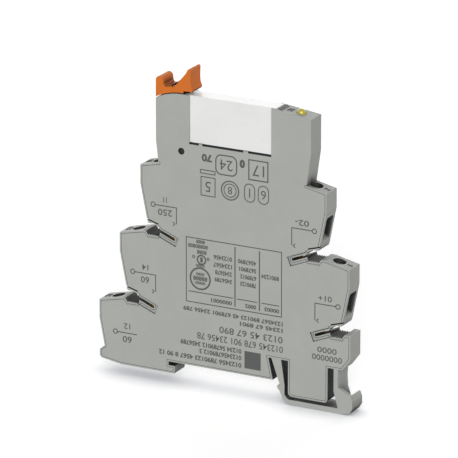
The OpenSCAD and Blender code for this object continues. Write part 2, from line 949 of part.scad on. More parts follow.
module circuit_board() {
    color([0.15, 0.42, 0.25])
    slab(board_y, plate_y)
        polygon([
            [board_left, board_low], [board_low_right, board_low], [board_low_right, board_slant_low],
            [board_right, board_slant_top], [board_right, board_top],
            [board_column, board_top], [board_column, board_step], [board_left, board_step]
        ]);
}

// Parts soldered on the front of the board
rectifier_size = [4.6, 2.2, 3.8];
resistor_size = [1.6, 0.6, 3.2];
diode_size = [1.8, 1.2, 3];
part_gap = 1;

module board_part(x, z, size) {
    translate([x, board_y - size[1], z])
        cube(size);
}

module rectifier() {
    color([0.12, 0.12, 0.13])
    board_part(board_left + track_w, board_low + 3 * track_w, rectifier_size);
}

module series_resistors() {
    color([0.14, 0.14, 0.16])
    for (i = [0, 1])
        board_part(
            board_column + part_gap + (resistor_size[0] + part_gap) * i, board_step + 2 * part_gap,
            resistor_size
        );
}

module suppressor_diode() {
    color([0.2, 0.2, 0.2])
    board_part(board_left + rectifier_size[0] + 1.5 * track_w, board_low + track_w, diode_size);
}

// Frame of the status light, on the right column's sloped top
module at_lens() {
    translate([led_x, 0, right_column_top - (led_x - bay_right) * tan(column_tilt)])
        rotate([0, column_tilt, 0])
            children();
}

module status_led() {
    color([0.95, 0.92, 0.75])
    translate([led_x - led_size / 2, board_y - led_size, board_top - led_h])
        cube([led_size, led_size, led_h]);
}

module led_lens() {
    foot_z = board_top + loose;
    color([0.85, 0.78, 0.12]) {
        at_lens() {
            translate([0, 0, -lens_stem + cut])
                cylinder(r = lens_r, h = lens_stem - cut);
            intersection() {
                sphere(r = lens_r);
                translate([-lens_r - cut, -lens_r - cut, -loose])
                    cube([2 * lens_r + 2 * cut, 2 * lens_r + 2 * cut, lens_r + cut]);
            }
        }
        translate([led_x - led_size / 2, -led_size / 2, foot_z])
            cube([led_size, led_size, right_column_top - lens_stem - foot_z]);
    }
}

module coil_contacts() {
    color([0.80, 0.64, 0.36])
    for (i = [0, 1]) {
        x = coil_x(i);
        pin_socket(x, 0, board_y);
        slab(board_y - socket_t, board_y)
            translate([x - track_w / 2, board_step - 2 * track_w])
                square([track_w, socket_low - board_step + 2 * track_w]);
    }
}

// Lever outline about its pivot, in X and Z
wall_t = 1.4;
lever_floor_t = 1.15;
floor_z = pivot_z + swing_r + lever_gap + lever_floor_t;
knob_r = 1.2;
knob_rise = 1.6;
knob_z = floor_z + knob_rise;
horn_top = floor_z + horn_h;
horn_foot_in = 2.6;
horn_foot_x = pivot_x - horn_foot_in;
horn_w = 1;
nose_out = 3.4;
nose_x = pivot_x + nose_out;
nose_gap = 1;
nose_z = relay_top + nose_gap;

module lever_head() {
    r = swing_r + lever_gap;
    left = left_column - loose;
    top = horn_top;
    steps = 6;
    knob_steps = 8;
    a0 = asin((left - pivot_x) / r);
    a1 = asin((relay_left - wall_t / 2 - pivot_x) / r);
    polygon([
        for (i = [0 : knob_steps])
            let (a = 180 - 180 * i / knob_steps)
                [left + knob_r + knob_r * cos(a), knob_z + knob_r * sin(a)],
        [left + 2 * knob_r + loose, floor_z + knob_r / 2], [left + 2 * knob_r + horn_w / 2, floor_z],
        [horn_foot_x, floor_z], [horn_foot_x + horn_w / 2, floor_z + horn_w / 2],
        [nose_x - 2 * horn_w, top - wall_t], [nose_x - 1.5 * horn_w, top - horn_w / 3],
        [nose_x - horn_w, top], [nose_x - horn_w / 2, top - horn_w / 3],
        [nose_x - horn_w * 0.6, top - 2 * wall_t], [nose_x - horn_w / 2, floor_z + wall_t],
        [nose_x, nose_z + horn_w / 2], [nose_x - loose, nose_z],
        [relay_left - wall_t / 2, nose_z],
        for (i = [0 : steps])
            let (a = a1 + (a0 - a1) * i / steps)
                [pivot_x + r * sin(a), pivot_z + r * cos(a)]
    ]);
}

module eject_lever() {
    tooth = 0.7;
    rib = 0.4;
    color([0.85, 0.42, 0.16])
    difference() {
        union() {
            slab(-lever_w / 2, lever_w / 2) {
                lever_head();
                polygon([
                    [horn_foot_x - 2 * tooth, floor_z - loose], [horn_foot_x - tooth, floor_z + tooth],
                    [horn_foot_x - tooth / 2, floor_z - loose]
                ]);
            }
            slab(-lever_w / 2, -lever_w / 2 + lever_w / 4)
                for (i = [1 : 3])
                    translate([left_column + 2 * wall_t + 2 * rib * i, floor_z - loose])
                        square([rib, rib + loose]);
            slab(-arm_t / 2, arm_t / 2) {
                polygon([
                    [pivot_x - arm_left, pivot_z], [pivot_x - arm_left, pivot_z + swing_r + 2 * lever_gap],
                    [pivot_x + arm_right, pivot_z + swing_r + 2 * lever_gap], [pivot_x + arm_right, pivot_z]
                ]);
                translate([pivot_x, pivot_z])
                    circle(r = hub_r);
                polygon([
                    [pivot_x, pivot_z - hub_r + loose], [pivot_x + heel_l, pivot_z - heel_low],
                    [pivot_x + heel_l, pivot_z + heel_top], [pivot_x, pivot_z + heel_top]
                ]);
            }
        }
        translate([pivot_x, arm_t / 2 + cut, pivot_z])
            rotate([90, 0, 0])
                cylinder(r = pivot_r + running, h = arm_t + 2 * cut);
    }
}

module lever_pin() {
    sunk = 0.45;
    color([0.2, 0.2, 0.21])
    translate([pivot_x, rear_y - sunk, pivot_z])
        rotate([90, 0, 0])
            cylinder(r = pivot_r, h = module_t - 2 * sunk);
}

// Plug-in relay, from the outside in
base_t = 1.5;
plinth_h = 0.6;
inner_left = relay_left + case_t;
inner_right = relay_right - case_t;
base_top = relay_bottom + base_t;
inner_top = relay_top - case_t;

module relay_case() {
    color([0.9, 0.9, 0.88])
    difference() {
        translate([relay_left, -relay_t / 2, base_top])
            cube([relay_l, relay_t, relay_top - base_top]);
        translate([inner_left, -relay_t / 2 + case_t, base_top - cut])
            cube([relay_l - 2 * case_t, relay_t - 2 * case_t, inner_top - base_top + cut]);
    }
}

module relay_base() {
    color([0.13, 0.13, 0.14])
    difference() {
        union() {
            translate([relay_left, -relay_t / 2, relay_bottom])
                cube([relay_l, relay_t, base_t]);
            translate([inner_left + loose, -relay_t / 2 + case_t + loose, relay_bottom])
                cube([relay_l - 2 * case_t - 2 * loose, relay_t - 2 * case_t - 2 * loose, base_t + plinth_h]);
        }
        for (x = PIN_PLACES)
            translate([x - pin_w / 2, -pin_t / 2, relay_bottom - cut])
                cube([pin_w, pin_t, base_t + plinth_h + 2 * cut]);
    }
}

// Heights inside the relay
plinth_top = base_top + plinth_h;
coil_below = 6.3;
coil_z = relay_top - coil_below;
coil_r = 1.95;
core_r = 0.9;
tube_r = 1.2;
flange_t = 0.5;
coil_after = 7.6;
coil_left = contact_x(1) + coil_after;
coil_end = 1.4;
coil_right = relay_right - coil_end;
flange_over = 0.1;
yoke_t = 0.8;
yoke_w = 3.6;
yoke_z = coil_z - coil_r - flange_over - loose - yoke_t;
hinge_in = 0.9;
hinge_x = coil_left - hinge_in;
hinge_z = yoke_z + yoke_t / 2;
armature_t = 0.7;
armature_turn = 4.6;
card_below = 2.4;
card_z = relay_top - card_below;
card_t = 0.8;
card_mid = card_z + card_t / 2;
tie_top = card_z + card_t;
leaf_t = 0.25;
contact_below = 1.9;
contact_z = card_z - contact_below;
rivet_r = 0.9;
rivet_t = 0.45;
closed_gap = 0.02;

// The core's pole reaches out to where the armature closes
pole_x = hinge_x + armature_t / 2 * cos(armature_turn)
    + (coil_z + core_r - hinge_z) * sin(armature_turn) + closed_gap;

// Open gap that the card's travel closes at the contacts
leaf_foot = plinth_top + loose / 2;
contact_travel = (card_mid - hinge_z) * tan(armature_turn)
    * (contact_z + rivet_r - leaf_foot) / (card_mid - leaf_foot);
contact_gap = contact_travel + closed_gap;

module coil_pins() {
    color([0.8, 0.78, 0.7])
    for (i = [0, 1])
        translate([coil_x(i) - pin_w / 2, -pin_t / 2, relay_bottom - pin_l])
            cube([pin_w, pin_t, pin_l + base_t + yoke_t * 2]);
}

module coil_bobbin() {
    flange = coil_r + flange_over;
    color([0.85, 0.82, 0.72])
    difference() {
        union() {
            for (x = [coil_left, coil_right - flange_t])
                translate([x, -flange, coil_z - flange])
                    cube([flange_t, 2 * flange, 2 * flange]);
            translate([coil_left, 0, coil_z])
                rotate([0, 90, 0])
                    cylinder(r = tube_r, h = coil_right - coil_left);
        }
        translate([coil_left - cut, 0, coil_z])
            rotate([0, 90, 0])
                cylinder(r = core_r, h = coil_right - coil_left + 2 * cut);
    }
}

module coil_winding() {
    color([0.72, 0.36, 0.18])
    translate([coil_left + flange_t, 0, coil_z])
        rotate([0, 90, 0])
            difference() {
                cylinder(r = coil_r, h = coil_right - coil_left - 2 * flange_t);
                translate([0, 0, -cut])
                    cylinder(r = tube_r, h = coil_right - coil_left);
            }
}

module iron_core() {
    color([0.5, 0.5, 0.52])
    translate([pole_x, 0, coil_z])
        rotate([0, 90, 0])
            cylinder(r = core_r, h = coil_right - pole_x);
}

module iron_yoke() {
    yoke_left = hinge_x + armature_t / 2 + loose;
    color([0.55, 0.55, 0.57]) {
        translate([yoke_left, -yoke_w / 2, yoke_z])
            cube([coil_right + yoke_t - yoke_left, yoke_w, yoke_t]);
        translate([coil_right, -yoke_w / 2, yoke_z])
            cube([yoke_t, yoke_w, coil_z + core_r - yoke_z]);
    }
}

// Plate that tilts on the yoke's end towards the core and drives the card
module armature() {
    color([0.55, 0.55, 0.57]) {
        translate([hinge_x - armature_t / 2, -yoke_w / 2, hinge_z - yoke_t / 2])
            cube([armature_t, yoke_w, coil_z + core_r - hinge_z + yoke_t]);
        translate([hinge_x - armature_t / 2, -yoke_w / 6, coil_z])
            cube([armature_t, yoke_w / 3, tie_top - coil_z]);
    }
}

// Flat return spring between the yoke's lower side and the armature
module armature_spring() {
    back = hinge_x - armature_t / 2 - closed_gap - leaf_t / 2;
    color([0.7, 0.62, 0.45])
    slab(-yoke_w / 6, yoke_w / 6)
        strip([
            [hinge_x + 3 * armature_t, yoke_z - leaf_t / 2],
            [back, yoke_z - leaf_t / 2], [back, coil_z]
        ], leaf_t);
}

// Card with a slot at each end, one for the armature and one for the moving contact
module actuator_card() {
    left = contact_x(1) - card_t;
    right = hinge_x + armature_t / 2 + card_t;
    slot = yoke_w / 3 + 2 * loose;
    color([0.75, 0.3, 0.2])
    difference() {
        translate([left, -yoke_w / 2, card_z])
            cube([right - left, yoke_w, card_t]);
        translate([hinge_x - armature_t / 2 - loose, -slot / 2, card_z - cut])
            cube([armature_t + 2 * loose, slot, card_t + 2 * cut]);
        translate([contact_x(1) - leaf_t / 2 - loose, -slot / 2, card_z - cut])
            cube([leaf_t + 2 * loose, slot, card_t + 2 * cut]);
    }
}

// Contact pieces, each a pin below the base and a leaf above it
module contact_pin(x, rise) {
    translate([x - pin_w / 2, -pin_t / 2, relay_bottom - pin_l])
        cube([pin_w, pin_t, pin_l + plinth_top - relay_bottom + rise]);
}

module rivet(x, l) {
    translate([x, 0, contact_z])
        rotate([0, 90, 0])
            cylinder(r = rivet_r, h = l);
}

module moving_contact() {
    x = contact_x(1);
    color([0.82, 0.66, 0.4]) {
        translate([x - leaf_t / 2, -yoke_w / 3, leaf_foot])
            cube([leaf_t, 2 * yoke_w / 3, contact_z + rivet_r - leaf_foot]);
        translate([x - leaf_t / 2, -yoke_w / 6, contact_z])
            cube([leaf_t, yoke_w / 3, tie_top - contact_z]);
        rivet(x - leaf_t / 2 - rivet_t, 2 * rivet_t + leaf_t);
    }
}

// A fixed contact stands beside the moving one, at a distance from its leaf
module fixed_contact(i, side, gap) {
    x = contact_x(1) + side * (leaf_t / 2 + 2 * rivet_t + gap);
    far = x + side * leaf_t;
    top = contact_z + rivet_r;
    color([0.82, 0.66, 0.4]) {
        contact_pin(contact_x(i), leaf_t / 2);
        slab(-yoke_w / 3, yoke_w / 3)
            strip([
                [contact_x(i) + side * pin_w / 2, plinth_top + leaf_t / 2],
                [(x + far) / 2, plinth_top + leaf_t / 2], [(x + far) / 2, top]
            ], leaf_t);
        rivet(side > 0 ? x - rivet_t : far, rivet_t + leaf_t);
    }
}

module contact_com() {
    color([0.82, 0.66, 0.4])
    contact_pin(contact_x(1), 0);
}

module contact_no() {
    fixed_contact(2, 1, contact_gap);
}

module contact_nc() {
    fixed_contact(0, -1, closed_gap);
}

housing_tray();
housing_cover();
latch_strut();
latch_neck();
rail_latch();
at_clamp(0) clamp_screw();  // screw_11
at_clamp(1) clamp_screw();  // screw_14
at_clamp(2) clamp_screw();  // screw_12
at_clamp(3) clamp_screw();  // screw_a2
at_clamp(4) clamp_screw();  // screw_a1
at_clamp(0) clamp_cage();  // cage_11
at_clamp(1) clamp_cage();  // cage_14
at_clamp(2) clamp_cage();  // cage_12
at_clamp(3) clamp_cage();  // cage_a2
at_clamp(4) clamp_cage();  // cage_a1
busbar_11();
busbar_14();
busbar_12();
busbar_a2();
busbar_a1();
circuit_board();
rectifier();
series_resistors();
suppressor_diode();
status_led();
led_lens();
coil_contacts();
eject_lever();
lever_pin();
relay_case();
relay_base();
coil_pins();
coil_bobbin();
coil_winding();
iron_core();
iron_yoke();
armature();
armature_spring();
actuator_card();
moving_contact();
contact_com();
contact_no();
contact_nc();
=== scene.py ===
# %% [markdown]
# # A slim interface relay, dressed for its portrait
#
# The solids of this device come from a CAD model: a grey socket housing only 6.2 mm thick,
# screw clamps and busbars inside it, an orange lever and a white plug-in relay.
# This lesson adds what a CAD model leaves out: light, a camera, the finish of every material,
# the grey print on the cover, raised numbers, screw threads, wire turns and springs cut into short lengths.
# Everything is in metres, in the frame of the CAD model, so each piece is placed by numbers.

# %% Load the imported model
import json
import math
import bmesh
import bpy
import numpy as np
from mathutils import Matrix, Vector


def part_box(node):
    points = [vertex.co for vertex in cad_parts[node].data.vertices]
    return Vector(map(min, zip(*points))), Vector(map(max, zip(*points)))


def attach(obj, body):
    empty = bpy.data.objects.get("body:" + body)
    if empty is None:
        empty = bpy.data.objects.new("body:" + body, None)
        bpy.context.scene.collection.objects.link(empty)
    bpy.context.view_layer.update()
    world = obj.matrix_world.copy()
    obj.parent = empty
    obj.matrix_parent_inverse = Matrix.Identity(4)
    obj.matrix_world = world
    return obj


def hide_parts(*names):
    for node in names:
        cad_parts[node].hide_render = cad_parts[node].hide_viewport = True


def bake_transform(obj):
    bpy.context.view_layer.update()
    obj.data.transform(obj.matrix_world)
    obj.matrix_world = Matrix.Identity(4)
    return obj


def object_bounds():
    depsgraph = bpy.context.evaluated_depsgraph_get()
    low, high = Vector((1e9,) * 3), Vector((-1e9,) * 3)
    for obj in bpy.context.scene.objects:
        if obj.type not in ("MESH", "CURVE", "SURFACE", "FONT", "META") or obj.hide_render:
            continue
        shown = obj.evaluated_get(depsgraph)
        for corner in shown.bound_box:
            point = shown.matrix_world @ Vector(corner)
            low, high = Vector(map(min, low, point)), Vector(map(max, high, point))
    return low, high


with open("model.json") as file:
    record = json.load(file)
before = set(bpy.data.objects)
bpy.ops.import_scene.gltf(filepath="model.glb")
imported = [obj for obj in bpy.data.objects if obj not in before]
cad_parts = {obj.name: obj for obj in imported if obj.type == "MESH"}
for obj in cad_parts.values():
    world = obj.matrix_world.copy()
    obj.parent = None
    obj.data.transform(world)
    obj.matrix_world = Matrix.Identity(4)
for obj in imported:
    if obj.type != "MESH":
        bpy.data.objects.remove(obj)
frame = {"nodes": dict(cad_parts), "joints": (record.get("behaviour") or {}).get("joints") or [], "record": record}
nodes = frame["nodes"]
record = frame["record"]
cad_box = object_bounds()

# %% [markdown]
# Real sizes are easiest to read in millimetres, so lengths are written in millimetres and
# multiplied once. Colours are written as the sRGB hex values that one reads off a screen,
# and one function turns them to the linear values that a renderer needs.

# %% Units and colours
MM = 0.001


def linear(colour):
    """Linear RGBA of an sRGB hex colour. Each part c, from 0 to 1, becomes c / 12.92 when it is dark,
    and else ((c + 0.055) / 1.055) to the power 2.4."""
    c = np.array([int(colour[i:i + 2], 16) for i in (1, 3, 5)]) / 255
    c = np.where(c > 0.04045, ((c + 0.055) / 1.055) ** 2.4, c / 12.92)
    return (*c.tolist(), 1.0)


def per_metre(size):
    """Texture scale whose features are size millimetres apart."""
    return 1 / (size * MM)


def corners_of(node):
    """Lowest and highest corner of a CAD node, in millimetres."""
    return [np.array(corner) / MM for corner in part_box(node)]


print("mid grey in linear light:", [round(v, 3) for v in linear("#A4A6A2")[:3]])

# %% [markdown]
# A product portrait of a flat device is taken with a long lens from far away, so that parallel
# edges stay parallel. The camera looks at the middle of the device from the front right and
# from a little above. The lens follows from the wanted scale: the picture is 458 pixels wide
# and shows 3.6 pixels for each millimetre of the device.

# %% Camera
PICTURE_PIXELS = 458
PIXELS_PER_MM = 3.6
DISTANCE = 1500
SENSOR = 36
NEAREST, FARTHEST = 0.05, 60
AZIMUTH = math.radians(27.9)
ELEVATION = math.radians(18.2)
TARGET = Vector((0.02, 0, 40.94)) * MM

camera_data = bpy.data.cameras.new("portrait_camera")
camera_data.sensor_width = SENSOR
camera_data.lens = SENSOR * DISTANCE * PIXELS_PER_MM / PICTURE_PIXELS
camera_data.clip_start = NEAREST
camera_data.clip_end = FARTHEST
camera = bpy.data.objects.new("portrait_camera", camera_data)
bpy.context.collection.objects.link(camera)
to_camera = Vector((math.sin(AZIMUTH) * math.cos(ELEVATION), -math.cos(AZIMUTH) * math.cos(ELEVATION),
                    math.sin(ELEVATION)))
camera.location = TARGET + to_camera * DISTANCE * MM
camera.rotation_euler = (-to_camera).to_track_quat("-Z", "Y").to_euler()
bpy.context.scene.camera = camera
bpy.context.scene.view_settings.view_transform = "Standard"
print("lens: %.0f mm" % camera_data.lens)

# %% [markdown]
# Materials are small networks of nodes. Two helpers keep the cells below short: one starts a
# material and returns it with its tree and its output, and one adds a node, sets it and links
# it. A Mix node has sockets for every kind of data, so the numbers of those for its colours
# get names.

# %% Helpers for materials
COLOUR_A, COLOUR_B, COLOUR_OUT = 6, 7, 2


def new_material(name):
    """A material with an empty node tree and its output node."""
    material = bpy.data.materials.new(name)
    material.use_nodes = True
    material.node_tree.nodes.clear()
    return material, material.node_tree, material.node_tree.nodes.new("ShaderNodeOutputMaterial")


def add(tree, kind, settings=None, values=None, links=None):
    """Adds a node, sets its properties and input values, and links its inputs to other nodes' outputs."""
    made = tree.nodes.new(kind)
    for name, value in (settings or {}).items():
        setattr(made, name, value)
    for name, value in (values or {}).items():
        made.inputs[name].default_value = value
    for name, source in (links or {}).items():
        tree.links.new(source, made.inputs[name])
    return made


# %% [markdown]
# The studio is an even white surround with one broad lamp in front, close to the camera, and
# another one behind. Together they give the front about the light that makes a colour render
# as it is written, and the back a little less. The picture's background is pure white, and only
# rays that look straight at it, or see it mirrored or through something clear, get that white,
# so it adds nothing to the light on matt faces.

# %% Surround
SURROUND = 0.26
WHITE = (1, 1, 1, 1)


def seen_directly(tree):
    """Socket that is 1 for a ray that looks straight at a thing, or sees it mirrored or through something
    clear: the greatest of three flags of the Light Path node."""
    path = add(tree, "ShaderNodeLightPath")
    flag = path.outputs["Is Camera Ray"]
    for kind in ("Is Glossy Ray", "Is Transmission Ray"):
        greater = add(tree, "ShaderNodeMath", {"operation": "MAXIMUM"},
                      links={0: flag, 1: path.outputs[kind]})
        flag = greater.outputs[0]
    return flag


world = bpy.data.worlds.new("studio")
bpy.context.scene.world = world
world.use_nodes = True
sky = world.node_tree
sky.nodes.clear()
soft = add(sky, "ShaderNodeBackground", values={"Color": WHITE, "Strength": SURROUND})
white = add(sky, "ShaderNodeBackground", values={"Color": WHITE, "Strength": 1.0})
both = add(sky, "ShaderNodeMixShader",
           links={0: seen_directly(sky), 1: soft.outputs[0], 2: white.outputs[0]})
add(sky, "ShaderNodeOutputWorld", links={"Surface": both.outputs[0]})
print("nodes of the surround:", len(sky.nodes))

# %% Lamps
LAMPS = {
    "key_lamp": {"toward": (0.38, -0.80, 0.31), "strength": 2.65, "angle": 40},
    "back_lamp": {"toward": (-0.35, 0.85, 0.11), "strength": 2.3, "angle": 70},
}
for name, lamp in LAMPS.items():
    light = bpy.data.lights.new(name, "SUN")
    light.energy = lamp["strength"]
    light.angle = math.radians(lamp["angle"])
    holder = bpy.data.objects.new(name, light)
    bpy.context.collection.objects.link(holder)
    holder.rotation_euler = (-Vector(lamp["toward"])).to_track_quat("-Z", "Y").to_euler()
print("lamps:", list(LAMPS))

# %% [markdown]
# The floor is a pale sheet of paper under the device. It is white where the camera sees it and
# a little darker for the light that it throws back. It is a real surface, so it keeps the
# device's soft shadow, and an ambient occlusion node deepens that shadow close to the device,
# where a wide lamp alone leaves it too faint.

# %% Floor
FLOOR_HALF = 4.0
CONTACT_REACH = 9
PAPER_GLOW = 0.42
OCCLUSION_SAMPLES = 8
floor_z = float(cad_box[0][2])
floor_corners = [(x * FLOOR_HALF, y * FLOOR_HALF, floor_z) for x, y in ((-1, -1), (1, -1), (1, 1), (-1, 1))]
floor_mesh = bpy.data.meshes.new("paper_floor")
floor_mesh.from_pydata(floor_corners, [], [(0, 1, 2, 3)])
floor = bpy.data.objects.new("paper_floor", floor_mesh)
bpy.context.collection.objects.link(floor)
paper, tree, out = new_material("white_paper")
dim = add(tree, "ShaderNodeBsdfDiffuse", values={"Color": linear("#B8B8B6")})
near = add(tree, "ShaderNodeAmbientOcclusion", {"samples": OCCLUSION_SAMPLES},
           {"Distance": CONTACT_REACH * MM})
contact = add(tree, "ShaderNodeMix", {"data_type": "RGBA"},
              {COLOUR_A: linear("#8F929A"), COLOUR_B: linear("#FFFFFF")}, {"Factor": near.outputs["AO"]})
lit = add(tree, "ShaderNodeBsdfDiffuse", links={"Color": contact.outputs[COLOUR_OUT]})
glow = add(tree, "ShaderNodeEmission", values={"Strength": PAPER_GLOW},
           links={"Color": contact.outputs[COLOUR_OUT]})
clean = add(tree, "ShaderNodeAddShader", links={0: lit.outputs[0], 1: glow.outputs[0]})
sheet = add(tree, "ShaderNodeMixShader",
            links={0: seen_directly(tree), 1: dim.outputs[0], 2: clean.outputs[0]})
tree.links.new(sheet.outputs[0], out.inputs["Surface"])
floor_mesh.materials.append(paper)
print("floor at %.1f mm" % (floor_z / MM))

# %% [markdown]
# The device is full of narrow slots and deep holes, and in a satin grey these swallow nearly
# all of the light. So shade is painted into the colour: it is darkened where walls nearer than
# a few millimetres close off a good part of the open side. The two broad faces of the housing
# have no recess of their own, so they stay free of this painted shade down to the floor, and so
# does the pocket of the relay, which the white case lights up.

# %% Painted shade in recesses
PAINTED_SHADE_RANGE = {"From Min": 0.47, "From Max": 0.9, "To Min": 0.03}


def painted_recess_shade(tree, place, reach, face_y=None, pocket=None):
    """Socket of painted shade, a factor for the colour: 1 in the open, falling where walls nearer than reach,
    in millimetres, close the side. It stays 1 past the depth face_y, and in the pocket, given by the middle
    and half the width of its X and by the floor of its Z."""
    open_side = add(tree, "ShaderNodeAmbientOcclusion", {"samples": OCCLUSION_SAMPLES},
                    {"Distance": reach * MM})
    shade = add(tree, "ShaderNodeMapRange", values=PAINTED_SHADE_RANGE, links={"Value": open_side.outputs["AO"]})
    axes = add(tree, "ShaderNodeSeparateXYZ", links={"Vector": place.outputs["Object"]})
    free = []
    if face_y:
        away = add(tree, "ShaderNodeMath", {"operation": "ABSOLUTE"}, links={0: axes.outputs["Y"]})
        free.append(add(tree, "ShaderNodeMath", {"operation": "GREATER_THAN"}, {1: face_y * MM},
                        {0: away.outputs[0]}))
    if pocket:
        middle, half, low = (value * MM for value in pocket)
        between = add(tree, "ShaderNodeMath", {"operation": "COMPARE"}, {1: middle, 2: half},
                      {0: axes.outputs["X"]})
        above = add(tree, "ShaderNodeMath", {"operation": "GREATER_THAN"}, {1: low}, {0: axes.outputs["Z"]})
        free.append(add(tree, "ShaderNodeMath", {"operation": "MULTIPLY"},
                        links={0: between.outputs[0], 1: above.outputs[0]}))
    for unshaded in free:
        shade = add(tree, "ShaderNodeMath", {"operation": "MAXIMUM"},
                    links={0: shade.outputs[0], 1: unshaded.outputs[0]})
    return shade.outputs[0]


# %% [markdown]
# Most of the device is moulded plastic. A steel mould is spark-eroded, which leaves a fine
# pebbled grain on every face, and the melt flows in with faint clouds of tone. One recipe
# gives all of the plastics: a cloudy tone, a grain that bends the light, a gloss that changes
# a little from place to place, and, where it is asked for, painted shade in the recesses.
# The grain is drawn coarser than the real 0.05 mm, so that it still shows at this distance.

# %% Recipe for moulded plastic
CLOUD_SIZE = 9.0
CLOUD_RANGE = {"From Min": 0.35, "From Max": 0.65}
PEBBLE_DEPTH = 0.02
GLOSS_CHANGE = 0.06


def moulded(name, colour, cloud, roughness, grain=0.16, depth=0.1, shade=None, **extra):
    """Moulded plastic. colour and cloud are its two tones, grain is the size of its pebbles in millimetres,
    depth the strength of their relief, and shade what painted_recess_shade needs besides the tree, for painted
    shade in recesses."""
    material, tree, out = new_material(name)
    place = add(tree, "ShaderNodeTexCoord")
    clouds = add(tree, "ShaderNodeTexNoise",
                 values={"Scale": per_metre(CLOUD_SIZE), "Detail": 4, "Roughness": 0.6},
                 links={"Vector": place.outputs["Object"]})
    tone = add(tree, "ShaderNodeMapRange", values=CLOUD_RANGE, links={"Value": clouds.outputs["Fac"]})
    paint = add(tree, "ShaderNodeMix", {"data_type": "RGBA"},
                {COLOUR_A: linear(colour), COLOUR_B: linear(cloud)}, {"Factor": tone.outputs["Result"]})
    # painted shade: the colour is multiplied by the darkening of recesses
    if shade:
        paint = add(tree, "ShaderNodeMix", {"data_type": "RGBA", "blend_type": "MULTIPLY"}, {"Factor": 1.0},
                    {COLOUR_A: paint.outputs[COLOUR_OUT], COLOUR_B: painted_recess_shade(tree, place, **shade)})
    pebbles = add(tree, "ShaderNodeTexNoise",
                  values={"Scale": per_metre(grain), "Detail": 3, "Roughness": 0.55},
                  links={"Vector": place.outputs["Object"]})
    gloss = add(tree, "ShaderNodeMapRange",
                values={"To Min": roughness - GLOSS_CHANGE, "To Max": roughness + GLOSS_CHANGE},
                links={"Value": pebbles.outputs["Fac"]})
    relief = add(tree, "ShaderNodeBump", values={"Strength": depth, "Distance": PEBBLE_DEPTH * MM},
                 links={"Height": pebbles.outputs["Fac"]})
    shader = add(tree, "ShaderNodeBsdfPrincipled", values=extra,
                 links={"Base Color": paint.outputs[COLOUR_OUT], "Roughness": gloss.outputs["Result"],
                        "Normal": relief.outputs["Normal"]})
    tree.links.new(shader.outputs[0], out.inputs["Surface"])
    return material


# %% [markdown]
# The plastics, each with what it gives the eye. Polyamide is satin and a little waxy. PBT
# takes a higher gloss. Polycarbonate for the status light lets light in, so its dome glows.

# %% Plastics
# the face of the cover and the pocket of the relay, a little wider than the case, stay free of the painted shade
# in recesses
CASE_GAP = 0.4
COVER_FACE = 3.05
case_low, case_high = corners_of("relay_case")
relay_pocket = ((case_low[0] + case_high[0]) / 2, (case_high[0] - case_low[0]) / 2 + CASE_GAP, case_low[2])
finishes = {
    # grey polyamide: a neutral satin grey with a faint green cast, fine grain on every face, painted shade in its
    # slots and holes
    "grey_plastic": moulded("grey_polyamide", "#A4A6A2", "#A0A29E", 0.58, depth=0.16,
                            shade={"reach": 7.0, "face_y": COVER_FACE, "pocket": relay_pocket}, IOR=1.53,
                            **{"Specular IOR Level": 0.35}),
    # orange polyamide: saturated and waxy, a soft highlight along the horns, painted shade in its recesses
    "orange_plastic": moulded("orange_polyamide", "#D2722F", "#C86B2A", 0.48, grain=0.2, depth=0.12,
                              shade={"reach": 4.0}, IOR=1.53, **{"Specular IOR Level": 0.1}),
    # white PBT of the relay's case: almost smooth, a pale even sheen
    "white_plastic": moulded("white_pbt", "#E3E3E2", "#DFDFDE", 0.36, grain=0.3, depth=0.05, IOR=1.56),
    # black glass-filled PBT: dark, slightly greyed by the fibres at the surface
    "dark_plastic": moulded("black_pbt", "#121314", "#18191A", 0.5, grain=0.12, depth=0.2, IOR=1.56,
                            **{"Specular IOR Level": 0.3}),
    # natural PBT of the bobbin: cream, slightly translucent
    "cream_plastic": moulded("natural_pbt", "#DCD3B6", "#D3C9AA", 0.45, grain=0.25, IOR=1.56),
    # red acetal of the card: slick and saturated
    "red_plastic": moulded("red_acetal", "#B4402E", "#A93A29", 0.35, grain=0.3, depth=0.05, IOR=1.48),
    # yellow polycarbonate of the light: clear enough that its dome glows at the rim
    "yellow_lens": moulded("yellow_polycarbonate", "#DACB16", "#D2C20E", 0.16, grain=0.4, depth=0.03,
                           IOR=1.58,
                           **{"Transmission Weight": 0.35, "Coat Weight": 0.4, "Coat Roughness": 0.08}),
    # clear epoxy over the light-emitting chip: milky and glossy
    "led_resin": moulded("diode_epoxy", "#F1E9C9", "#E9E0BC", 0.2, grain=0.3, depth=0.03, IOR=1.54,
                         **{"Transmission Weight": 0.3}),
}
print("plastics:", len(finishes))

# %% [markdown]
# Most of the metal pieces are stamped from rolled strip, so their surface carries fine lines
# along the rolling direction and cloudy spots from plating. Stretching a noise pattern along
# one axis gives those lines, and the same pattern bends the highlights.

# %% Recipe for rolled and plated metal
SPOT_SIZE = 1.6
SPOT_RANGE = {"From Min": 0.42, "From Max": 0.72}
LINE_DEPTH = 0.01
SMOOTHER, ROUGHER = 0.08, 0.1


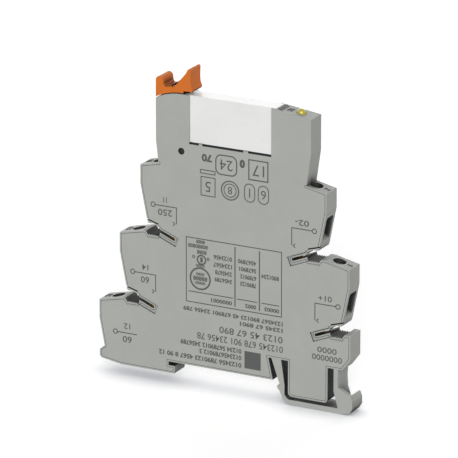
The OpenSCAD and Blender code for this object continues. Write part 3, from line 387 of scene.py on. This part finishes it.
def rolled_metal(name, colour, stain, roughness, line=0.12, stretch=14, along=(1, 0, 0)):
    """Metal strip. colour and stain are its two tones, line is the distance of its rolling lines in
    millimetres, stretch how many times longer than wide they are, and along their direction."""
    material, tree, out = new_material(name)
    place = add(tree, "ShaderNodeTexCoord")
    squeeze = tuple(1 / stretch if a else 1.0 for a in along)
    stretched = add(tree, "ShaderNodeMapping", values={"Scale": squeeze},
                    links={"Vector": place.outputs["Object"]})
    lines = add(tree, "ShaderNodeTexNoise", values={"Scale": per_metre(line), "Detail": 3},
                links={"Vector": stretched.outputs["Vector"]})
    spots = add(tree, "ShaderNodeTexNoise",
                values={"Scale": per_metre(SPOT_SIZE), "Detail": 5, "Roughness": 0.65},
                links={"Vector": place.outputs["Object"]})
    tone = add(tree, "ShaderNodeMapRange", values=SPOT_RANGE, links={"Value": spots.outputs["Fac"]})
    paint = add(tree, "ShaderNodeMix", {"data_type": "RGBA"},
                {COLOUR_A: linear(colour), COLOUR_B: linear(stain)}, {"Factor": tone.outputs["Result"]})
    gloss = add(tree, "ShaderNodeMapRange",
                values={"To Min": roughness - SMOOTHER, "To Max": roughness + ROUGHER},
                links={"Value": lines.outputs["Fac"]})
    relief = add(tree, "ShaderNodeBump", values={"Strength": 0.15, "Distance": LINE_DEPTH * MM},
                 links={"Height": lines.outputs["Fac"]})
    shader = add(tree, "ShaderNodeBsdfPrincipled", values={"Metallic": 1.0},
                 links={"Base Color": paint.outputs[COLOUR_OUT], "Roughness": gloss.outputs["Result"],
                        "Normal": relief.outputs["Normal"]})
    tree.links.new(shader.outputs[0], out.inputs["Surface"])
    return material


# %% Metals
finishes.update({
    # zinc-plated steel of screws and cages: cool, bright, lightly clouded
    "zinc_steel": rolled_metal("zinc_plated_steel", "#BDBDB8", "#A3A19A", 0.34),
    # soft iron of the magnet, nickel-plated: darker and smoother than the zinc
    "relay_iron": rolled_metal("nickel_plated_iron", "#97979A", "#86868A", 0.3),
    # half-hard brass strip of the busbars: warm yellow with browner spots
    "busbar_brass": rolled_metal("rolled_brass", "#D0AC62", "#B98F49", 0.3),
    # spring bronze of the contact leaves: redder than the brass
    "contact_bronze": rolled_metal("spring_bronze", "#C79763", "#A87A4B", 0.32, along=(0, 0, 1)),
    # enamelled copper wire: the enamel gives the copper a darker, varnished look
    "copper_wire": rolled_metal("enamelled_copper", "#A8552A", "#8E431E", 0.22, line=0.3, stretch=3),
})
print("finishes:", len(finishes))

# %% [markdown]
# The circuit board is woven glass in epoxy under a green solder mask. The weave shows as a
# fine square pattern, two sets of bands 0.4 mm apart that cross each other. A Wave texture
# draws 20 radians of its wave for each unit of length, so one band is 2 pi / 20 of a unit wide.

# %% Circuit board laminate
WEAVE = 0.4
WEAVE_DEPTH = 0.02
BAND = 2 * math.pi / 20
laminate, tree, out = new_material("glass_epoxy_laminate")
place = add(tree, "ShaderNodeTexCoord")
warp, weft = (add(tree, "ShaderNodeTexWave", {"bands_direction": axis}, {"Scale": per_metre(WEAVE) * BAND},
                  {"Vector": place.outputs["Object"]}) for axis in ("X", "Z"))
weave = add(tree, "ShaderNodeMath", {"operation": "MULTIPLY"},
            links={0: warp.outputs["Fac"], 1: weft.outputs["Fac"]})
mask = add(tree, "ShaderNodeMix", {"data_type": "RGBA"},
           {COLOUR_A: linear("#1F5C3A"), COLOUR_B: linear("#2B7049")}, {"Factor": weave.outputs[0]})
relief = add(tree, "ShaderNodeBump", values={"Strength": 0.3, "Distance": WEAVE_DEPTH * MM},
             links={"Height": weave.outputs[0]})
shader = add(tree, "ShaderNodeBsdfPrincipled", values={"Roughness": 0.28, "IOR": 1.55, "Coat Weight": 0.3},
             links={"Base Color": mask.outputs[COLOUR_OUT], "Normal": relief.outputs["Normal"]})
tree.links.new(shader.outputs[0], out.inputs["Surface"])
finishes["board_laminate"] = laminate
print("finishes:", len(finishes))

# %% [markdown]
# The record of the CAD model names a material slot for every node. The finish of each slot
# goes into its nodes' own slots, and their meshes stay as they are.

# %% Finish of every CAD node
slot_of = {part["node"]: part["material_slot"] for part in record["subparts"]}
for name, node in nodes.items():
    node.data.materials.clear()
    node.data.materials.append(finishes[slot_of[name]])
print("dressed:", len(slot_of), "of", len(nodes), "nodes")

# %% [markdown]
# New pieces are worked out as arrays of points. Each builder below returns points and faces,
# in millimetres, and one function joins such parts to a mesh in metres. Its last step turns
# all faces outward.

# %% Joining parts to a piece
def make_piece(name, parts, finish, body, smooth=False):
    """One object from a list of (points, faces) with a finish. It rides on a body and names a slot."""
    points, faces, start = [], [], 0
    for part_points, part_faces in parts:
        points.append(np.asarray(part_points, dtype=float))
        faces += [[start + i for i in face] for face in part_faces]
        start += len(part_points)
    mesh = bpy.data.meshes.new(name)
    mesh.from_pydata((np.concatenate(points) * MM).tolist(), [], faces)
    work = bmesh.new()
    work.from_mesh(mesh)
    bmesh.ops.recalc_face_normals(work, faces=work.faces)
    work.to_mesh(mesh)
    work.free()
    mesh.polygons.foreach_set("use_smooth", [smooth] * len(mesh.polygons))
    mesh.materials.append(finish)
    piece = bpy.data.objects.new(name, mesh)
    bpy.context.collection.objects.link(piece)
    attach(piece, body)
    return piece


def grid_faces(rows, columns, rows_close=False, columns_close=True):
    """Faces between neighbouring points of a grid, whose rows and columns may run round and close."""
    r = np.arange(rows if rows_close else rows - 1)
    c = np.arange(columns if columns_close else columns - 1)
    r, c = np.meshgrid(r, c, indexing="ij")
    r2, c2 = (r + 1) % rows, (c + 1) % columns
    quads = np.stack([r * columns + c, r * columns + c2, r2 * columns + c2, r2 * columns + c], axis=-1)
    return quads.reshape(-1, 4).tolist()


# %% [markdown]
# Print on plastic is a thin film of ink. A printed line is a flat ribbon: a small rectangle
# carried along a path, with its corners mitred. Rings are the same ribbon on a closed path.

# %% Ribbons of ink
def ribbon(path, width, low, high, closed=False):
    """A rectangle carried along a path in X and Z. At each point it leans along the mitre of its two runs:
    the sum of the runs' side vectors a and b, divided by 1 + a.b. low and high are its faces in Y."""
    path = np.asarray(path, dtype=float)
    runs = np.roll(path, -1, axis=0) - path
    sides = np.stack([-runs[:, 1], runs[:, 0]], axis=1) / np.linalg.norm(runs, axis=1, keepdims=True)
    before = np.roll(sides, 1, axis=0)
    if not closed:
        sides[-1] = before[-1]
        before[0] = sides[0]
    mitre = (before + sides) / (1 + np.sum(before * sides, axis=1, keepdims=True))
    left, right = path + mitre * width / 2, path - mitre * width / 2
    section = [(left, low), (right, low), (right, high), (left, high)]
    points = np.stack([np.stack([p[:, 0], np.full(len(p), y), p[:, 1]], axis=1) for p, y in section],
                      axis=1)
    count = len(section)
    faces = grid_faces(len(path), count, rows_close=closed)
    if not closed:
        last = count * (len(path) - 1)
        faces += [list(range(count)), list(range(last + count - 1, last - 1, -1))]
    return points.reshape(-1, 3), faces


def circle_path(x, z, radius, count=40):
    """Points round a circle: x + radius cos(turn) and z + radius sin(turn)."""
    turn = np.arange(count) / count * 2 * np.pi
    return np.stack([x + radius * np.cos(turn), z + radius * np.sin(turn)], axis=1)


def box_path(x, z, width, height, corner=0.0, count=5):
    """Points round a rectangle about (x, z): a quarter circle of count points in each corner, or one point
    where the corner has no radius."""
    quarter = np.arange(count) / (count - 1) * np.pi / 2
    parts = []
    for i, (sx, sz) in enumerate(((1, 1), (-1, 1), (-1, -1), (1, -1))):
        turn = quarter + i * np.pi / 2
        parts.append(np.stack([x + sx * (width / 2 - corner) + corner * np.cos(turn),
                               z + sz * (height / 2 - corner) + corner * np.sin(turn)], axis=1))
    path = np.concatenate(parts)
    return path if corner else path[::count]


# %% [markdown]
# Numbers come from Blender's own font. Each is made a mesh first, and then its points are
# carried to a place on the device by three directions: the reading direction, up, and out of
# the surface.

# %% Numbers as meshes
CURVE_STEPS = 3
WELD = 1e-5


def numerals(text, height, origin, right, up, thick, width=None, middle=True, bold=0.0):
    """Points and faces of a number. origin is the middle, or the start, of its foot line, thick is half its
    thickness, and bold widens its strokes, as a share of the font's size."""
    curve = bpy.data.curves.new("number", "FONT")
    curve.body = text
    curve.offset = bold
    curve.resolution_u = CURVE_STEPS
    curve.extrude = 1.0
    holder = bpy.data.objects.new("number", curve)
    bpy.context.collection.objects.link(holder)
    bpy.context.view_layer.update()
    mesh = bpy.data.meshes.new_from_object(holder.evaluated_get(bpy.context.evaluated_depsgraph_get()))
    work = bmesh.new()
    work.from_mesh(mesh)
    bmesh.ops.remove_doubles(work, verts=work.verts, dist=WELD)
    work.to_mesh(mesh)
    work.free()
    points = np.empty(len(mesh.vertices) * 3)
    mesh.vertices.foreach_get("co", points)
    points = points.reshape(-1, 3)
    faces = [list(face.vertices) for face in mesh.polygons]
    bpy.data.objects.remove(holder)
    bpy.data.curves.remove(curve)
    bpy.data.meshes.remove(mesh)
    low, high = points.min(axis=0), points.max(axis=0)
    tall = height / (high[1] - low[1])
    wide = tall if width is None else width / (high[0] - low[0])
    start = (low[0] + high[0]) / 2 if middle else low[0]
    local = (points - [start, low[1], 0]) * [wide, tall, thick]
    right, up = np.array(right, dtype=float), np.array(up, dtype=float)
    return np.array(origin) + local @ np.array([right, up, np.cross(right, up)]), faces


# %% [markdown]
# The print on the cover stands on its head while the device stands on its foot. All of it is
# generic here: plain numbers, rings and frames, in the places and the grey of the real print.
# First the circuit signs: each terminal has a ring for its clamp and a line that leads inward,
# and all but the lowest end in an arrowhead further down.

# %% Ink
WEAR_SIZE = 0.35
ink, tree, out = new_material("grey_pad_print")
place = add(tree, "ShaderNodeTexCoord")
worn = add(tree, "ShaderNodeTexNoise", values={"Scale": per_metre(WEAR_SIZE), "Detail": 3},
           links={"Vector": place.outputs["Object"]})
paint = add(tree, "ShaderNodeMix", {"data_type": "RGBA"},
            {COLOUR_A: linear("#4B4E4C"), COLOUR_B: linear("#5E615F")}, {"Factor": worn.outputs["Fac"]})
shader = add(tree, "ShaderNodeBsdfPrincipled", values={"Roughness": 0.75, "Specular IOR Level": 0.3},
             links={"Base Color": paint.outputs[COLOUR_OUT]})
tree.links.new(shader.outputs[0], out.inputs["Surface"])

COVER_Y = -3.1
FILM = 0.02
LINE, HEAVY_LINE = 0.28, 0.36
BOLD, SMALL_BOLD = 0.01, 0.035


def on_cover(text, height, x, z, width=None, middle=True, bold=BOLD):
    """A number on the cover, standing on its head, about or from (x, z), its middle height."""
    foot_line = (x, COVER_Y, z + height / 2)
    return numerals(text, height, foot_line, (-1, 0, 0), (0, 0, -1), FILM, width, middle, bold)


def ink_line(path, closed=False, width=LINE):
    """A printed line on the cover."""
    return ribbon(path, width, COVER_Y + FILM, COVER_Y - FILM, closed)


def printed(name, parts):
    """A piece of print, which rides on the housing."""
    return make_piece(name, parts, ink, "housing")


# %% Circuit signs beside the terminals
RING = 0.65
ARROW = 0.6
ARROW_GAP = 0.5
NUMBER_HEIGHT = 1.7
RATING_HEIGHT = 1.9
SIGNS = {
    "11": {"ring": (-22.3, 45.7), "corner": -14.9, "foot": 40.9, "number": (-18.5, 47.5, 1.1),
           "rating": ("250", -18.5, 4.5)},
    "14": {"ring": (-28.9, 24.9), "corner": -21.6, "foot": 20.0, "number": (-24.9, 26.7, 2.0),
           "rating": ("60", -25.0, 2.6)},
    "12": {"ring": (-34.6, 6.2), "corner": -27.6, "foot": None, "number": (-30.8, 8.2, 2.0),
           "rating": ("60", -30.8, 2.9)},
    "02-": {"ring": (28.2, 45.5), "corner": 21.2, "foot": 40.4, "number": (24.4, 47.3, 4.3),
            "rating": None},
    "01+": {"ring": (35.6, 24.7), "corner": 28.5, "foot": 19.7, "number": (31.6, 26.5, 4.2),
            "rating": None},
}
for text, sign in SIGNS.items():
    x, z = sign["ring"]
    outward = -1 if x < 0 else 1
    corner, foot = sign["corner"], sign["foot"]
    lead = [(x - outward * RING, z), (corner, z)]
    parts = [ink_line(circle_path(x, z, RING, 24), closed=True),
             on_cover(text, NUMBER_HEIGHT, *sign["number"])]
    if foot:
        lead.append((corner, foot))
        tip = corner + outward * ARROW_GAP
        arms = tip + outward * ARROW
        parts.append(ink_line([(arms, foot + ARROW), (tip, foot), (arms, foot - ARROW)]))
    parts.append(ink_line(lead))
    if sign["rating"]:
        rating, rating_x, width = sign["rating"]
        parts.append(on_cover(rating, RATING_HEIGHT, rating_x, z - RATING_HEIGHT, width))
    printed("circuit_sign_" + text.replace("-", "_minus").replace("+", "_plus"), parts)
print("circuit signs:", len(SIGNS))

# %% [markdown]
# In the middle of the cover is a ruled table with columns of numbers, and rows of numbers
# under it. The rows keep the height and the length that the real lines of print have. Numbers
# this small are printed bold, so they fill in a little.

# %% Ruled table
TABLE_LEFT, TABLE_RIGHT, TABLE_LOW, TABLE_TOP = -11.8, 18.1, 18.9, 37.8
HEADER = 22.0
COLUMNS = [3.55, 11.2]
GAP = 0.7
COUNTING = "01234567890123456789"
NUMBER_LENGTH = 7
ROW_HEIGHT, HEADER_HEIGHT = 1.35, 1.2
# each row's height in Z, and the widths of its numbers in the first two columns
ROWS = [(33.2, 5.8, 5.8), (31.0, 5.9, 5.4), (28.8, 5.3, 5.0), (26.7, 5.5, 5.0)]
table = [ink_line(box_path((TABLE_LEFT + TABLE_RIGHT) / 2, (TABLE_LOW + TABLE_TOP) / 2,
                           TABLE_RIGHT - TABLE_LEFT, TABLE_TOP - TABLE_LOW), closed=True)]
table += [ink_line([(x, TABLE_LOW + GAP), (x, TABLE_TOP - GAP)], width=HEAVY_LINE) for x in COLUMNS]
edges = [TABLE_LEFT, *COLUMNS, TABLE_RIGHT]
table += [ink_line([(left + GAP, HEADER), (right - GAP, HEADER)]) for left, right in zip(edges, edges[1:])]


def table_number(text, x, z, width, height=ROW_HEIGHT):
    """A small number in the table that starts at x."""
    table.append(on_cover(text, height, x, z, width, False, SMALL_BOLD))


for i, (z, first, second) in enumerate(ROWS):
    table_number(COUNTING[i:i + NUMBER_LENGTH], 2.6, z, first)
    table_number(COUNTING[i + 4:i + 4 + NUMBER_LENGTH], 10.2, z, second)
table_number(COUNTING[8:8 + NUMBER_LENGTH], 17.3, 29.9, 5.5)
for text, x, width in (("0000001", 2.6, 6.6), ("0002", 10.2, 3.5), ("00003", 17.4, 4.6)):
    table_number(text, x, 20.4, width, HEADER_HEIGHT)
print("parts of the table:", len(table))

# %% Rings and small rows in the table
RING_X, RING_Z = -7.4, 26.1
SMALL_RING_X, SMALL_RING_Z = -7.0, 31.7
table += [ink_line(circle_path(RING_X, RING_Z, 3.1), closed=True, width=0.5),
          ink_line(circle_path(SMALL_RING_X, SMALL_RING_Z, 1.3, 28), closed=True, width=0.45)]
# each number with its height, its place and its width
SMALL_ROWS = [
    ("0000", 0.9, RING_X, 29.9, 2.8), ("000", 0.9, RING_X, 27.4, 2.6),
    ("88888", 1.3, RING_X, RING_Z, 4.5), ("0000", 0.9, RING_X, 24.8, 3.2),
    ("1", 1.5, SMALL_RING_X, SMALL_RING_Z, 0.8), ("0", 1.0, -9.5, 32.3, 0.9), ("0", 1.0, -4.9, 32.2, 0.9),
    ("8088", 1.2, -6.9, 33.9, 3.1), ("80880808", 1.2, -8.1, 35.5, 6.2), ("8088", 1.1, -7.3, 36.9, 2.7),
]
table += [on_cover(*row, bold=SMALL_BOLD) for row in SMALL_ROWS]
printed("printed_table", table)
print("small rows:", len(SMALL_ROWS))

# %% Rows of numbers under the table
# each row with its height, the place where it starts, and its width
LINES = [
    ("1234567 890123 45 678901 23456 789", 1.3, 18.5, 16.8, 31.3), ("12345 67 8901", 1.3, 18.5, 14.9, 13.4),
    ("0123 45 67 890", 1.95, 18.5, 12.1, 19.9), ("012345 678 901 23456 78", 1.95, 18.6, 9.3, 27.0),
    ("01234 56789012 3456789", 1.5, 5.6, 6.7, 19.3), ("0123456789012 3", 1.5, 5.6, 4.75, 13.3),
    ("0123456 7890123 4567 8 90 12", 1.5, 5.6, 2.55, 26.2),
]
LARGE = 1.6
SQUARE = 5.1
rows = [on_cover(*line, False, BOLD if line[1] > LARGE else SMALL_BOLD) for line in LINES]
rows.append(ink_line([(9.1, 2.0), (9.1, 2.0 + SQUARE)], width=SQUARE))
printed("printed_rows", rows)
printed("printed_spare_marks", [on_cover("0000", NUMBER_HEIGHT, 32.3, 11.4, 6.0),
                                on_cover("0000000", NUMBER_HEIGHT, 32.3, 9.1, 9.3)])
print("printed rows:", len(LINES))

# %% [markdown]
# Below the relay is a patch of small signs. Plain rings, frames and numbers stand there.

# %% Generic signs below the relay
signs = [
    on_cover("70", 2.3, -5.3, 61.7, 3.2, bold=0.05),
    ink_line(box_path(-5.0, 57.6, 4.6, 1.0), closed=True),
    on_cover("0", 2.5, 5.8, 61.6, 1.7, bold=0.07),
    ink_line(circle_path(2.0, 53.3, 2.7), closed=True, width=HEAVY_LINE),
    ink_line(circle_path(2.0, 53.3, 1.9), closed=True),
    on_cover("8", 2.2, 2.0, 53.3, bold=0),
]
# each number in a frame: its height, its middle, the frame's width, height and corner, and its line
FRAMED = [
    ("24", 3.0, 0.8, 60.4, 6.5, 5.6, 1.6, HEAVY_LINE), ("17", 3.2, 10.8, 60.3, 5.9, 5.7, 0.0, HEAVY_LINE),
    ("5", 3.0, -4.9, 53.4, 4.4, 5.4, 0.0, LINE), ("1", 2.6, 8.1, 53.5, 3.2, 5.2, 1.5, LINE),
    ("6", 2.6, 12.4, 53.5, 3.2, 5.2, 1.5, LINE),
]
for text, height, x, z, frame_width, frame_height, corner, line in FRAMED:
    signs.append(ink_line(box_path(x, z, frame_width, frame_height, corner), closed=True, width=line))
    signs.append(on_cover(text, height, x, z, bold=0))
printed("printed_signs", signs)
print("framed numbers:", len(FRAMED))

# %% [markdown]
# Small numbers are raised on the sloped tops, in the plastic of the housing itself, so they
# only show by their shading. Each clamp's joint gives the middle of its screwdriver hole and
# the direction of its screw, and the number stands on the slope between the hole and the edge.

# %% Raised numbers on the terminal tops
joints = {joint["name"]: joint for joint in frame["joints"]}
RAISED = {"11": "11", "14": "14", "12": "12", "a2": "2", "a1": "1"}
RAISED_HEIGHT = 1.6
RISE = 0.2
FROM_HOLE = 4.1
raised = []
for name, text in RAISED.items():
    joint = joints["screw_turn_" + name]
    middle = np.array(joint["pos_m"]) / MM
    up = -np.array(joint["axis"], dtype=float)
    outward = np.array([up[2], 0, -up[0]]) * (-1 if middle[0] < 0 else 1)
    raised.append(numerals(text, RAISED_HEIGHT, middle + outward * FROM_HOLE, np.cross(-outward, up),
                           -outward, RISE))

# the top of the right column falls by 1.6 mm over 12.2 mm, and the light's dome stands 1.3 mm over it
SLOPE = math.atan2(1.6, 12.2)
DOME = 1.3
lens_low, lens_high = corners_of("led_lens")
down_slope = np.array([math.cos(SLOPE), 0, -math.sin(SLOPE)])
column_up = np.array([math.sin(SLOPE), 0, math.cos(SLOPE)])
foot = np.array([(lens_low[0] + lens_high[0]) / 2, 0, lens_high[2] - DOME])
for text, away in (("24", 2.4), ("0000", 4.6)):
    raised.append(numerals(text, RAISED_HEIGHT, foot - down_slope * away, np.cross(-down_slope, column_up),
                           -down_slope, RISE))
make_piece("raised_numbers", raised, finishes["grey_plastic"], "housing")
print("raised numbers:", len(raised))

# %% [markdown]
# The clamp screws have a thread with a pitch of 0.5 mm. A thread is a small triangle carried
# along a helix: its radius is the shank's plus the triangle's height, and it climbs one pitch
# in each turn. It fades out at both ends, which is how a rolled thread runs out.

# %% Screw threads
SHANK = 1.5
CREST = 0.045
PITCH = 0.5
THREAD_FROM, THREAD_TO = 3.15, 7.45
STEPS = 32
# each corner of the ridge: its height over the shank, and its place along the screw in pitches
RIDGE = [(-0.1, -0.2), (CREST, 0.0), (-0.1, 0.2)]


def thread(middle, axis):
    """Ridge on a shank: radius(t) = shank + height(t) at the crest, angle = 2 pi t, travel = pitch t."""
    turns = (THREAD_TO - THREAD_FROM) / PITCH
    t = np.linspace(0, turns, int(turns * STEPS) + 1)
    fade = np.clip(np.minimum(t, turns - t) * 2, 0.02, 1)
    side, across = np.cross(axis, [0, 1, 0]), np.array([0, 1, 0])
    radial = np.cos(2 * np.pi * t)[:, None] * side + np.sin(2 * np.pi * t)[:, None] * across
    centre = middle + axis * (THREAD_FROM + PITCH * t)[:, None]
    points = np.stack([centre + radial * (SHANK + height * fade)[:, None] + axis * place * PITCH
                       for height, place in RIDGE], axis=1)
    corners = len(RIDGE)
    last = corners * (len(t) - 1)
    ends = [list(range(corners)), list(range(last + corners - 1, last - 1, -1))]
    return points.reshape(-1, 3), grid_faces(len(t), corners) + ends


for name in RAISED:
    joint = joints["screw_turn_" + name]
    ridge = thread(np.array(joint["pos_m"]) / MM, np.array(joint["axis"], dtype=float))
    make_piece("thread_" + name, [ridge], finishes["zinc_steel"], "clamp_screw_" + name,
               smooth=True)
print("threads:", len(RAISED))

# %% [markdown]
# The winding is fine enamelled wire, laid turn beside turn. The CAD model has a plain sleeve
# there. A surface turned about the coil's axis takes its place: its outline is a row of arches,
# one for each turn that shows, half a wire times |sin(pi turn)| high, and its ends and its bore
# close it.

# %% Coil of wire
WIRE = 0.16
BORE = 1.2
STEPS_OF_WIRE = 6
ROUND = 48
coil_low, coil_high = corners_of("coil_winding")
coil_y, coil_z = (coil_low[1] + coil_high[1]) / 2, (coil_low[2] + coil_high[2]) / 2
coil_r = (coil_high[2] - coil_low[2]) / 2
turns = int((coil_high[0] - coil_low[0]) / WIRE)
step = np.linspace(0, turns, turns * STEPS_OF_WIRE + 1)
along = coil_low[0] + (coil_high[0] - coil_low[0]) * step / turns
outer = coil_r - WIRE / 2 + WIRE / 2 * np.abs(np.sin(np.pi * step))
profile_x = np.concatenate([along, [coil_high[0], coil_low[0]]])
profile_r = np.concatenate([outer, [BORE, BORE]])
angle = np.arange(ROUND) / ROUND * 2 * np.pi
winding = np.stack([np.broadcast_to(profile_x, (ROUND, len(profile_x))),
                    coil_y + np.outer(np.cos(angle), profile_r),
                    coil_z + np.outer(np.sin(angle), profile_r)], axis=-1)
coil_faces = grid_faces(ROUND, len(profile_x), rows_close=True)
coil = make_piece("wire_turns", [(winding.reshape(-1, 3), coil_faces)], finishes["copper_wire"], "relay",
                  smooth=True)
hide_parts("coil_winding")
print("turns of wire:", turns)

# %% [markdown]
# The spring foot hangs on two thin strips of the same plastic, a slanting strut and an upright
# neck. Both bend when the foot is pulled off the rail. Their solids have the right shape but no
# points between their ends, so each is copied, merged to one closed mesh and cut into short
# lengths, and the copy stands in place of the solid.

# %% Bending strips
STRIP_LENGTHS = 12
SAME_POINT = 0.001


def bending_strip(name, start, end):
    """A copy of a CAD strip, cut across into short lengths between start and end, which are in metres.
    It stands for the strip."""
    start, end = Vector(start), Vector(end)
    mesh = nodes[name].data.copy()
    work = bmesh.new()
    work.from_mesh(mesh)
    bmesh.ops.remove_doubles(work, verts=work.verts, dist=SAME_POINT * MM)
    for share in np.arange(1, STRIP_LENGTHS) / STRIP_LENGTHS:
        bmesh.ops.bisect_plane(work, geom=[*work.verts, *work.edges, *work.faces], dist=SAME_POINT * MM,
                               plane_co=start.lerp(end, share), plane_no=end - start)
    bmesh.ops.recalc_face_normals(work, faces=work.faces)
    work.to_mesh(mesh)
    work.free()
    mesh.polygons.foreach_set("use_smooth", [False] * len(mesh.polygons))
    strip = bpy.data.objects.new(name + "_strip", mesh)
    bpy.context.collection.objects.link(strip)
    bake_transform(strip)
    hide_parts(name)
    print(strip.name, "points:", len(mesh.vertices))


for name in ("latch_strut", "latch_neck"):
    strip_low, strip_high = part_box(name)
    bending_strip(name, (0, 0, strip_high[2]), (0, 0, strip_low[2]))

# %% [markdown]
# The return spring of the relay's armature is such a strip too. It is held under the yoke and
# lies against the armature, and it is cut into short lengths between its end and the armature's edge.

# %% Return spring
spring_end, armature_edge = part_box("armature_spring")[1][0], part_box("armature")[1][0]
bending_strip("armature_spring", (spring_end, 0, 0), (armature_edge, 0, 0))

# %% [markdown]
# Ejector pins push the warm housing out of its mould and leave shallow round prints on the
# back plate. Each is a very low ring.

# %% Ejector prints on the back plate
BACK_Y = 3.1
PRINT_RADIUS, PRINT_LINE = 1.25, 0.14
PRINT_SUNK, PRINT_RISE = 0.03, 0.02
EJECTORS = [(-22.0, 46.0), (-28.0, 24.5), (-8.0, 10.0), (8.5, 30.0), (28.0, 34.0), (-17.5, 60.0),
            (20.5, 66.0), (30.5, 12.0)]
prints = [ribbon(circle_path(x, z, PRINT_RADIUS, 48), PRINT_LINE, BACK_Y - PRINT_SUNK, BACK_Y + PRINT_RISE,
                 closed=True) for x, z in EJECTORS]
make_piece("ejector_prints", prints, finishes["grey_plastic"], "housing")
print("ejector prints:", len(EJECTORS))
